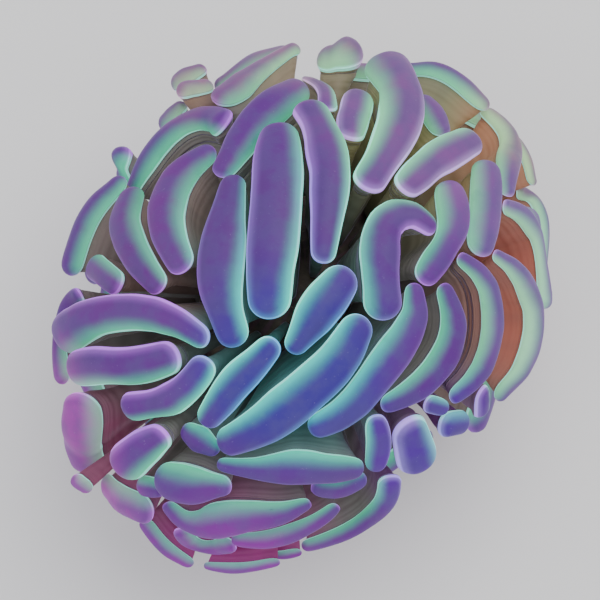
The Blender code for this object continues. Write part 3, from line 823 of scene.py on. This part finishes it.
@dataclass(frozen=True)
class TentacleSkin:
    """Wet, swollen skin of the tentacles, whose colour drifts over the colony, with painted highlights at the heads'
    edges, painted shade deep in the webs and an emission that is partly fluorescence and partly painted glow.
    """

    glow_start: float = 0.02
    glow_end: float = 0.86
    # Strength of the emission: partly the tissue's fluorescence, partly a painted glow on the bright lines, the edges
    # and the shaded webs.
    fluorescent_and_painted_glow_strength: float = 0.66

    def layer(self, bench: Bench, shares: Sequence[Wire], name: str) -> Wire:
        """Mixes one of the four colours over the colony.

        Args:
            bench: Bench of the material.
            shares: How much each tinge shows here.
            name: Which colour of the tinges to mix.

        Returns:
            The mixed colour.
        """
        colour: Any = getattr(BASE_TINGE, name)
        for share, tinge in zip(shares, TINGES):
            colour = bench.blend(share, colour, getattr(tinge, name))
        return colour

    def make(self) -> bpy.types.Material:
        """Makes the material.

        Returns:
            The material.
        """
        bench = Bench("tentacle_skin")
        drift = (bench.cloud(45.0, 1.0) - 0.5) * 14.0
        shares = []
        for tinge in TINGES:
            away = bench.distance_to(DOME.seen(tinge.grid_point)) + drift
            shares.append(away.rise(tinge.far, tinge.near))
        inner = bench.attribute("inner")
        edge = bench.attribute("edge")
        tone = bench.attribute("tone")
        patches = bench.cloud(160.0, 4.0)
        specks = bench.cloud(1500.0, 2.0)
        strand_inputs = {0: bench.attribute("along") * 0.22, 1: edge * 0.2, 2: tone * 9.0}
        strands = bench.cloud(1.0, 1.0, bench.node("ShaderNodeCombineXYZ", {}, strand_inputs))

        reach: Any = BASE_TINGE.reach
        for share, tinge in zip(shares, TINGES):
            reach = reach + (tinge.reach - reach) * share
        on_head = edge.rise(-0.06, 0.0)
        glow = (inner + reach + (patches - 0.5) * 0.16).rise(self.glow_start, self.glow_end)
        # Painted highlight: this mask lightens each head towards its widest line.
        edge_highlight = edge.rise(0.66, 0.16)
        # Painted highlight: this mask marks a thin bright line along each head's widest line, in place of the bright
        # rim at its outline.
        line = edge.rise(-0.08, 0.0) * edge.rise(0.30, 0.14)
        rim = self.layer(bench, shares, "rim")
        mint = self.layer(bench, shares, "glow")

        body = self.layer(bench, shares, "body")
        body = bench.blend(tone * 0.20, body, (0.03, 0.01, 0.10))
        body = bench.blend(patches.rise(0.36, 0.60) * 0.34, body, srgb(82, 78, 132))
        # Painted highlight: the edges of the heads are lightened with the rim colour.
        body = bench.blend(edge_highlight * 0.42, body, rim)
        skin = bench.blend(glow * 0.95, body, mint)
        # Painted highlight: a thin bright line along each head's widest line.
        skin = bench.blend(line * 0.75, skin, bench.blend(glow, rim, (0.36, 0.95, 0.82)))
        skin = bench.blend(patches.rise(0.52, 0.80) * 0.20, skin, (0.05, 0.02, 0.12))
        skin = bench.blend(specks.rise(0.66, 0.82) * 0.10, skin, (0.62, 0.55, 0.85))
        web = self.layer(bench, shares, "web")
        web = bench.blend(strands.rise(0.40, 0.70) * 0.12, web, (0.04, 0.045, 0.05))
        # Painted shade: the webs darken towards their roots, deep between the heads.
        web = bench.blend(edge.rise(-1.3, -2.2) * 0.3, web, (0.02, 0.024, 0.03))
        colour = bench.blend(on_head, web, skin)
        # Emission share: partly the tissue's fluorescence, strongest where it is mint, and partly painted light on the
        # bright lines, the lightened edges and the shaded webs.
        fluorescent_and_painted_glow_share = 0.14 + glow * 0.54 + line * 0.62 + edge_highlight * 0.12
        fluorescent_and_painted_glow_share = fluorescent_and_painted_glow_share * on_head + edge.rise(-2.6, -0.9) * (1.0 - on_head) * 0.36
        fluorescent_and_painted_glow_colour = bench.blend(fluorescent_and_painted_glow_share, (0.0, 0.0, 0.0), colour)

        rough = 0.42 + patches * 0.16
        height = patches * 0.6 + specks * 0.4
        return bench.finish(
            {
                "Base Color": colour,
                "Emission Color": fluorescent_and_painted_glow_colour,
                "Roughness": rough,
                "Normal": bench.bump(height, 0.22, 0.0003),
            },
            {
                "Emission Strength": self.fluorescent_and_painted_glow_strength,
                "Subsurface Weight": 0.15,
                "Subsurface Radius": (1.0, 0.7, 0.9),
                "Subsurface Scale": 0.0015,
                "Sheen Weight": 0.35,
                "Sheen Roughness": 0.25,
                "Sheen Tint": (0.72, 0.60, 1.0, 1.0),
                "Specular IOR Level": 0.22,
                "Coat Weight": 0.03,
                "Coat Roughness": 0.2,
            },
        )


@dataclass(frozen=True)
class MantleSkin:
    """Brown-green flesh that is drawn over the rim of the stem, with fine upright folds."""

    dark: Colour = srgb(52, 44, 40)
    light: Colour = srgb(104, 92, 74)
    blush: Colour = srgb(112, 62, 92)

    def make(self) -> bpy.types.Material:
        """Makes the material.

        Returns:
            The material.
        """
        bench = Bench("mantle_skin")
        patches = bench.cloud(130.0, 5.0)
        grain = bench.cloud(1100.0, 3.0)
        fold = bench.attribute("fold")
        colour = bench.blend(patches.rise(0.35, 0.68), self.dark, self.light)
        colour = bench.blend(fold.rise(0.35, 0.9) * 0.4, colour, self.blush)
        colour = bench.blend(grain.rise(0.60, 0.75) * 0.35, colour, srgb(150, 138, 112))
        return bench.finish(
            {
                "Base Color": colour,
                "Roughness": 0.36 + grain * 0.2,
                "Normal": bench.bump(patches * 0.5 + grain * 0.5, 0.4, 0.0004),
            },
            {"Subsurface Weight": 0.1, "Subsurface Scale": 0.0015, "Specular IOR Level": 0.45},
        )


@dataclass(frozen=True)
class StemStone:
    """Chalky stone of the stem, with grains on its ribs and a thin crust of algae between them."""

    bone: Colour = srgb(206, 194, 170)
    shadow: Colour = srgb(138, 122, 100)
    crust: Colour = srgb(128, 84, 98)
    algae: Colour = srgb(96, 100, 66)

    def make(self) -> bpy.types.Material:
        """Makes the material.

        Returns:
            The material.
        """
        bench = Bench("stem_stone")
        rib = bench.attribute("rib")
        low = bench.attribute("low")
        blotches = bench.cloud(70.0, 5.0)
        patches = bench.cloud(210.0, 4.0)
        grain = bench.cloud(1600.0, 4.0)
        pits = bench.node("ShaderNodeTexVoronoi", {"feature": "F1"}, {"Vector": bench.place, "Scale": 900.0}, "Distance")
        colour = bench.blend(rib.rise(0.05, 0.8), self.shadow, self.bone)
        colour = bench.blend(blotches.rise(0.50, 0.62) * (1.0 - rib * 0.5) * 0.75, colour, self.crust)
        colour = bench.blend(patches.rise(0.52, 0.68) * low.rise(0.9, 0.2) * 0.5, colour, self.algae)
        colour = bench.blend(grain.rise(0.55, 0.75) * 0.4, colour, srgb(232, 224, 206))
        # Painted shade: the pits are darker towards their bottoms.
        colour = bench.blend(pits.rise(0.35, 0.12) * 0.4, colour, srgb(98, 84, 68))
        return bench.finish(
            {
                "Base Color": colour,
                "Roughness": 0.80 + grain * 0.15,
                "Normal": bench.bump(grain * 0.5 + pits * 0.5, 0.7, 0.0007),
            },
            {"Specular IOR Level": 0.3},
        )


@dataclass(frozen=True)
class StudioFloor:
    """Plain pale floor."""

    tone: Colour = srgb(236, 235, 233)

    def make(self) -> bpy.types.Material:
        """Makes the material.

        Returns:
            The material.
        """
        bench = Bench("studio_floor")
        cloud = bench.cloud(6.0, 2.0)
        colour = bench.blend(cloud * 0.12, self.tone, srgb(228, 227, 226))
        return bench.finish({"Base Color": colour, "Roughness": 0.72 + cloud * 0.06}, {"Specular IOR Level": 0.2})


def place_object(name: str, shape: bmesh.types.BMesh, material: bpy.types.Material) -> bpy.types.Object:
    """Makes an object of a finished shape, at the origin.

    Args:
        name: Name of the object.
        shape: The shape, in millimetres. It is freed.
        material: Its material.

    Returns:
        The object.
    """
    bmesh.ops.transform(shape, matrix=Matrix.Scale(METRES_PER_MM, 4), verts=shape.verts[:])
    bmesh.ops.recalc_face_normals(shape, faces=shape.faces[:])
    for face in shape.faces:
        face.smooth = True
    mesh = bpy.data.meshes.new(name)
    shape.to_mesh(mesh)
    shape.free()
    mesh.materials.append(material)
    thing = bpy.data.objects.new(name, mesh)
    bpy.context.scene.collection.objects.link(thing)
    return thing


def round_up(thing: bpy.types.Object, levels: int) -> None:
    """Adds a Subdivision Surface to an object.

    Args:
        thing: The object.
        levels: Number of subdivisions.
    """
    surface = thing.modifiers.new("rounding", "SUBSURF")
    surface.levels = levels
    surface.render_levels = levels


def stretched_up(shape: bmesh.types.BMesh, faces: list[bmesh.types.BMFace], steps: int) -> None:
    """Pulls a flat sheet upwards step by step into a closed block, whose height counts the steps.

    Args:
        shape: The mesh that holds the sheet.
        faces: The faces of the sheet.
        steps: Number of steps.
    """
    for step in range(steps):
        pulled = bmesh.ops.extrude_face_region(shape, geom=faces, use_keep_orig=step == 0)
        verts = [part for part in pulled["geom"] if isinstance(part, bmesh.types.BMVert)]
        faces = [part for part in pulled["geom"] if isinstance(part, bmesh.types.BMFace)]
        bmesh.ops.translate(shape, verts=verts, vec=(0.0, 0.0, 1.0))


@dataclass
class Tentacle:
    """One tentacle: a swollen blade that narrows to its root and carries a sausage-shaped head."""

    head: Head
    name: str
    tone: float = 0.5
    root_gap: float = 0.6
    root_depth: float = 1.8
    root_share: float = 0.34
    web_share: float = 0.58
    neck_share: float = 0.74
    root_span: float = 0.80
    web_span: float = 0.86
    neck_span: float = 0.95
    web_reach: float = 0.80
    web_shift: float = 0.08
    neck_shift: float = 0.12
    neck_lean: float = 0.5
    neck_level: float = 0.90
    cap_share: float = 0.88
    border: float = 0.04
    leaning_border: float = 0.30
    waviness: float = 0.3
    unevenness: float = 0.22
    cell_length: float = 1.9
    cells_across: int = 6
    web_levels: tuple[float, ...] = (0.0, 0.16, 0.32, 0.48, 0.62, 0.75, 0.86, 0.94)
    head_angles: tuple[float, ...] = (-58.0, -42.0, -26.0, -12.0, 2.0, 16.0, 30.0, 44.0, 56.0)

    def cells_along(self) -> int:
        """Gives the number of cells along the head, which is even."""
        whole = self.head.length() + 2.0 * self.cap_share * float(self.head.halves.mean())
        return 2 * max(4, min(12, round(whole / self.cell_length / 2.0)))

    def swelling(self, places: np.ndarray) -> np.ndarray:
        """Gives the slight unevenness of the skin at some places, in millimetres."""
        aside = Vector((40.0 * self.tone, 0.0, 0.0))
        return np.array([self.unevenness * noise.noise(Vector(place) * 0.16 + aside) for place in places])

    def outline(self, square: np.ndarray, span: np.ndarray) -> tuple[np.ndarray, np.ndarray, np.ndarray]:
        """Turns points of a square into points of a sausage's outline.

        Args:
            square: The points, from -1 to 1 along and across the square.
            span: Share of the head's length that the straight part spans, for each point.

        Returns:
            The shares of the length, and the lengthwise and crosswise parts of the way out from the middle line.
        """
        across_u, across_v = square.T
        half = float(self.head.halves.mean()) * self.cap_share
        core = 0.5 * self.head.length() / (0.5 * self.head.length() + half)
        beyond = np.maximum(np.abs(across_u) - core, 0.0) / (1.0 - core)
        lengthwise = np.sign(across_u) * beyond * np.sqrt(1.0 - 0.5 * across_v * across_v)
        crosswise = across_v * np.sqrt(1.0 - 0.5 * beyond * beyond)
        return 0.5 + 0.5 * span * np.clip(across_u / core, -1.0, 1.0), lengthwise, crosswise

    def web_points(self, square: np.ndarray, level: np.ndarray) -> tuple[np.ndarray, np.ndarray]:
        """Places points of the web.

        Args:
            square: Their points on the square, from -1 to 1 along and across the tentacle.
            level: From 0 at the root to 1 under the head, for each point.

        Returns:
            The places, and their numbers inner, edge and along.
        """
        low = np.clip(level / self.web_reach, 0.0, 1.0)
        neck = smooth_step(0.60, 1.0, level)
        span = mix(mix(self.root_span, self.web_span, low), self.neck_span, neck)
        share, lengthwise, crosswise = self.outline(square, span)
        place, out, along, inner, half = self.head.at(share)
        crown, side = LEAN.turned(out, inner, self.neck_lean)
        inwards = -self.root_depth if self.head.fused else self.root_gap
        root = DOME.hub + scaled(out, DOME.flesh_distance(out) + inwards)
        web = DOME.hub + (place - DOME.hub) * self.web_reach + scaled(inner, self.web_shift * half)
        top = place - scaled(crown, self.neck_level * self.head.flatness * half)
        top = top + scaled(side, self.neck_shift * half)
        handle = 2.0 * web - 0.5 * (root + top)
        middle = scaled(root, (1.0 - level) ** 2) + scaled(handle, 2.0 * level * (1.0 - level))
        middle = middle + scaled(top, level ** 2)
        thick = half * mix(mix(self.root_share, self.web_share, low), self.neck_share, neck)
        wave = self.waviness * np.sin(9.0 * share + 20.0 * self.tone) * smooth_step(0.0, 0.4, level) * (1.0 - neck)
        across = unit(scaled(inner, 1.0 - level) + scaled(side, level))
        point = middle + scaled(across, wave + thick * crosswise)
        point = point + scaled(along, thick * self.cap_share * lengthwise)
        return point, np.stack((crosswise * 1.3, -2.2 + 1.4 * level, share * self.head.length()), axis=1)

    def head_points(self, square: np.ndarray, angle: np.ndarray) -> tuple[np.ndarray, np.ndarray]:
        """Places points of the head.

        Args:
            square: Their points on the square, from -1 to 1 along and across the tentacle.
            angle: Angles round the section, in degrees. It is 0 where the head is widest.

        Returns:
            The places, and their numbers inner, edge and along.
        """
        under = smooth_step(0.0, -60.0, angle)
        share, lengthwise, crosswise = self.outline(square, mix(1.0, self.neck_span, under))
        place, out, along, inner, half = self.head.at(share)
        crown, side = LEAN.turned(out, inner, mix(1.0, self.neck_lean, under))
        scale = np.cos(np.radians(angle))
        ring = np.maximum(np.hypot(lengthwise, crosswise), 1e-6)
        away = np.minimum(ring * scale, 1.0)
        below = angle < 0.0
        scale = np.where(below, mix(scale, self.neck_share, under), scale)
        rise = np.where(below, np.sin(np.radians(angle)), np.sqrt(1.0 - away * away))
        bend = np.where(below, angle / 90.0, 1.0 - np.arcsin(away) / (0.5 * math.pi))
        border = self.border - self.leaning_border * LEAN.angle(out, inner) / LEAN.most
        swell = self.swelling(place + scaled(inner, half * crosswise)) * (1.0 - 0.7 * under)
        point = place + scaled(crown, self.head.flatness * half * rise + 0.5 * swell)
        point = point + scaled(side, self.neck_shift * half * under + (half * scale + swell) * crosswise)
        point = point + scaled(along, (half * scale + swell) * self.cap_share * lengthwise)
        sideways = crosswise / ring * (1.0 - bend) / (1.0 - border)
        return point, np.stack((sideways, bend - border, share * self.head.length()), axis=1)

    def fill(self, shape: bmesh.types.BMesh) -> None:
        """Models the tentacle and adds it to a shape.

        Args:
            shape: The mesh that takes the tentacle. It has the layers of tentacle_layers.
        """
        block = bmesh.new()
        layers = tentacle_layers(block)
        bmesh.ops.create_grid(block, x_segments=self.cells_along(), y_segments=self.cells_across, size=1.0)
        stretched_up(block, block.faces[:], len(self.web_levels) + len(self.head_angles) - 1)
        spots = np.array([vert.co for vert in block.verts])
        steps = np.rint(spots[:, 2]).astype(int)
        on_web = steps < len(self.web_levels)
        places = np.zeros_like(spots)
        numbers = np.zeros_like(spots)
        levels = np.array(self.web_levels)[steps[on_web]]
        places[on_web], numbers[on_web] = self.web_points(spots[on_web, :2], levels)
        angles = np.array(self.head_angles)[steps[~on_web] - len(self.web_levels)]
        places[~on_web], numbers[~on_web] = self.head_points(spots[~on_web, :2], angles)
        for vert, place, row in zip(block.verts, places, numbers):
            vert.co = Vector(place)
            for layer, number in zip(layers, (*row, self.tone)):
                vert[layer] = number
        bmesh.ops.recalc_face_normals(block, faces=block.faces[:])
        carrier = bpy.data.meshes.new("carrier")
        block.to_mesh(carrier)
        block.free()
        shape.from_mesh(carrier)
        bpy.data.meshes.remove(carrier)

    def build(self, material: bpy.types.Material, slot: str) -> bpy.types.Object:
        """Builds the tentacle as a piece of its own in place of its node.

        Args:
            material: Its skin.
            slot: Its slot in the record. It is not used.

        Returns:
            The piece.
        """
        shape = bmesh.new()
        tentacle_layers(shape)
        self.fill(shape)
        piece = place_object(f"{self.name}_flesh", shape, material)
        round_up(piece, 1)
        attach(piece, "root")
        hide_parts(self.name)
        return piece


def tentacle_layers(shape: bmesh.types.BMesh) -> list[Any]:
    """Adds the numbers that the tentacles' skin reads to a shape.

    Args:
        shape: The mesh.

    Returns:
        The layers inner, edge, along and tone.
    """
    return [shape.verts.layers.float.new(name) for name in ("inner", "edge", "along", "tone")]


@dataclass
class LathedBody:
    """An upright body whose outline follows the turned plan of the flesh."""

    outline: tuple[tuple[float, float], ...]
    sides: int

    def turned(self, shape: bmesh.types.BMesh, place: Callable[[float, int], np.ndarray]) -> None:
        """Pulls a disc through the rings of the outline.

        Args:
            shape: The mesh to fill.
            place: Gives the point at an angle of a ring.
        """
        bmesh.ops.create_circle(shape, cap_ends=True, segments=self.sides, radius=1.0)
        stretched_up(shape, shape.faces[:], len(self.outline) - 1)
        for vert in shape.verts:
            ring = round(vert.co.z)
            vert.co = Vector(place(math.atan2(vert.co.y, vert.co.x), ring))


@dataclass
class StonySkeleton:
    """The ribbed stem, cut off flat under the colony."""

    outline: tuple[tuple[float, float], ...] = (
        (0.735, 0.0), (0.722, 2.5), (0.700, 7.0), (0.694, 11.0), (0.706, 16.0), (0.734, 21.0), (0.776, 26.0),
        (0.822, 30.0), (0.856, 33.0), (0.852, 34.6), (0.826, 36.0),
    )
    ribs: int = 40
    sides: int = 320
    groove: float = 0.7
    slot: str = "stony_skeleton"

    def rib_height(self, angle: float) -> float:
        """Tells how high a rib stands at an angle, from 0 in a groove to 1 on its back."""
        wave = 0.5 + 0.5 * math.cos(self.ribs * angle)
        minor = 0.72 + 0.28 * math.cos(0.5 * self.ribs * angle)
        return (wave ** 0.7) * minor

    def build(self, material: bpy.types.Material) -> bpy.types.Object:
        """Builds the stem in place of its node.

        Args:
            material: Its stone.

        Returns:
            The piece.
        """
        shape = bmesh.new()
        rib_layer = shape.verts.layers.float.new("rib")
        low_layer = shape.verts.layers.float.new("low")
        body = LathedBody(self.outline, self.sides)

        def place(angle: float, ring: int) -> np.ndarray:
            share, height = self.outline[ring]
            out = DOME.plan_point(angle, share, height)
            radius = float(np.hypot(out[0], out[1]))
            rough = 0.35 * noise.noise(Vector(out) * 0.22) + 0.16 * noise.noise(Vector(out) * 0.9)
            depth = self.groove * (1.0 - self.rib_height(angle)) - rough + 0.3
            if ring in (0, len(self.outline) - 1):
                depth = depth * 0.8
            out[:2] *= (radius - depth) / radius
            return out

        body.turned(shape, place)
        for vert in shape.verts:
            angle = self.plan_angle(vert.co)
            vert[rib_layer] = self.rib_height(angle)
            vert[low_layer] = vert.co.z / self.outline[-1][1]
        bmesh.ops.bevel(
            shape,
            geom=[edge for edge in shape.edges if any(len(face.verts) > 4 for face in edge.link_faces)],
            affect="EDGES",
            offset=0.25,
            segments=2,
            profile=0.5,
            material=-1,
        )
        piece = place_object("stony_skeleton_ribs", shape, material)
        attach(piece, "root")
        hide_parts("stony_skeleton")
        return piece

    def plan_angle(self, point: Vector) -> float:
        """Gives the angle of a point round the turned plan."""
        cosine = math.cos(DOME.turn)
        sine = math.sin(DOME.turn)
        long_part = (point.x * cosine + point.y * sine) / DOME.flesh_half_axes[0]
        short_part = (-point.x * sine + point.y * cosine) / DOME.flesh_half_axes[1]
        return math.atan2(short_part, long_part)


@dataclass
class PolypFlesh:
    """The flesh over the stem, and the small tentacles that are part of it."""

    heads: list[Head]
    outline: tuple[tuple[float, float], ...] = (
        (0.30, 36.5), (0.60, 36.5), (0.885, 36.4), (0.89, 31.0), (0.895, 26.0), (0.92, 24.5), (0.965, 24.6),
        (0.995, 26.6), (1.0, 31.0), (0.998, 38.0), (0.99, 46.0), (0.96, 50.5), (0.89, 54.2), (0.76, 57.7),
        (0.58, 60.6), (0.34, 62.8), (0.12, 63.8),
    )
    sides: int = 144
    folds: int = 36
    slot: str = "polyp_flesh"

    def fold_height(self, angle: float, height: float) -> float:
        """Tells how far a fold of the mantle stands out at an angle and a height, from 0 to 1."""
        lean = 0.03 * (height - 30.0)
        return 0.5 + 0.5 * math.sin(self.folds * angle + lean + 1.5 * math.sin(3.0 * angle))

    def build(self, skin: bpy.types.Material, mantle: bpy.types.Material) -> list[bpy.types.Object]:
        """Builds the mantle and the small tentacles in place of the flesh node.

        Args:
            skin: Skin of the tentacles.
            mantle: Skin of the mantle.

        Returns:
            The two pieces.
        """
        shape = bmesh.new()
        fold_layer = shape.verts.layers.float.new("fold")
        body = LathedBody(self.outline, self.sides)

        def place(angle: float, ring: int) -> np.ndarray:
            share, height = self.outline[ring]
            outside = smooth_step(4.0, 7.0, ring) * (1.0 - smooth_step(9.0, 13.0, ring))
            hang = smooth_step(3.0, 5.0, ring) * (1.0 - smooth_step(6.0, 8.0, ring))
            fold = self.fold_height(angle, height)
            share = share - 0.016 * outside * (1.0 - fold)
            return DOME.plan_point(angle, share, height + hang * (0.8 * fold - 0.4 + 0.5 * math.sin(5.0 * angle)))

        body.turned(shape, place)
        for vert in shape.verts:
            angle = math.atan2(vert.co.y, vert.co.x) - DOME.turn
            vert[fold_layer] = self.fold_height(angle, vert.co.z)
        mantle_piece = place_object("polyp_mantle", shape, mantle)
        small = bmesh.new()
        tentacle_layers(small)
        chance = random.Random(23)
        for head in self.heads:
            Tentacle(head, "small", chance.random(), cell_length=3.2, cells_across=3).fill(small)
        small_piece = place_object("small_tentacles", small, skin)
        for piece in (mantle_piece, small_piece):
            round_up(piece, 1)
            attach(piece, "root")
            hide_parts("polyp_flesh")
        return [mantle_piece, small_piece]


@dataclass
class Studio:
    """Pale floor, soft lights and the camera of the photograph."""

    floor_size: float = 6.0
    lens_share: float = 1.0

    def add_floor(self) -> bpy.types.Object:
        """Lays the floor under the stem.

        Returns:
            The floor.
        """
        shape = bmesh.new()
        bmesh.ops.create_grid(shape, x_segments=2, y_segments=2, size=0.5 * self.floor_size / METRES_PER_MM)
        floor = place_object("floor", shape, StudioFloor().make())
        return floor

    def add_light(self, name: str, place: Point | tuple[float, float, float], power: float, size: float, tint: Colour) -> None:
        """Adds a soft area light that points at the coral.

        Args:
            name: Name of the light.
            place: Its place in metres.
            power: Its power in watts.
            size: Its width in metres.
            tint: Its colour.
        """
        data = bpy.data.lights.new(name, "AREA")
        data.energy = power
        data.size = size
        data.color = tint
        lamp = bpy.data.objects.new(name, data)
        lamp.location = place
        target = Vector(DOME.hub * METRES_PER_MM)
        lamp.rotation_mode = "QUATERNION"
        lamp.rotation_quaternion = (target - lamp.location).to_track_quat("-Z", "Y")
        bpy.context.scene.collection.objects.link(lamp)

    def add_world(self) -> None:
        """Adds a pale, even surrounding light."""
        world = bpy.data.worlds.new("studio")
        world.use_nodes = True
        background = world.node_tree.nodes["Background"]
        background.inputs["Color"].default_value = (0.92, 0.94, 1.0, 1.0)
        background.inputs["Strength"].default_value = 0.95
        bpy.context.scene.world = world

    def add_camera(self) -> None:
        """Sets the camera up at the eye of the photograph."""
        sight = DOME.sight
        middle = 0.5 * IMAGE_POINTS
        aside = (middle - sight.grid_middle[0]) * sight.grid_step
        higher = (sight.grid_middle[1] - middle) * sight.grid_step
        data = bpy.data.cameras.new("camera")
        data.sensor_width = SENSOR_WIDTH
        data.lens = SENSOR_WIDTH * sight.distance / (IMAGE_POINTS * sight.grid_step)
        data.clip_start = 0.01
        data.clip_end = 20.0
        camera = bpy.data.objects.new("camera", data)
        camera.location = (sight.eye + aside * sight.right + higher * sight.up) * METRES_PER_MM
        camera.rotation_mode = "QUATERNION"
        camera.rotation_quaternion = Vector(-sight.towards).to_track_quat("-Z", "Y")
        bpy.context.scene.collection.objects.link(camera)
        bpy.context.scene.camera = camera

    def build(self) -> None:
        """Sets the whole studio up."""
        self.add_floor()
        self.add_world()
        self.add_light("key", (0.35, 0.30, 0.95), 6.0, 1.0, (1.0, 0.98, 0.95))
        self.add_light("fill", (-0.8, -0.5, 0.6), 2.5, 0.9, (0.92, 0.95, 1.0))
        self.add_light("front", (0.2, -1.0, 0.4), 1.5, 0.8, (1.0, 1.0, 1.0))
        self.add_camera()


CROWD = Crowd()


def main() -> None:
    """Builds the coral, dresses it and sets the studio up."""
    logging.basicConfig(level=logging.INFO, format="%(name)s: %(message)s")
    slots = {part["node"]: part["material_slot"] for part in frame["record"]["subparts"]}
    heads = CROWD.gather()
    LOG.info("settled %d heads", len(heads))
    skin = TentacleSkin().make()
    stem = StonySkeleton().build(StemStone().make())
    LOG.info("built %s", stem.name)
    for piece in PolypFlesh([head for head in heads if head.fused]).build(skin, MantleSkin().make()):
        LOG.info("built %s", piece.name)
    chance = random.Random(5)
    own = [head for head in heads if not head.fused]
    for number, head in enumerate(own, start=1):
        name = f"tentacle_{number:02d}"
        piece = Tentacle(head, name, chance.random()).build(skin, slots[name])
        LOG.info("built %s", piece.name)
    Studio().build()
    LOG.info("set up the studio")


if __name__ == "__main__":
    main()
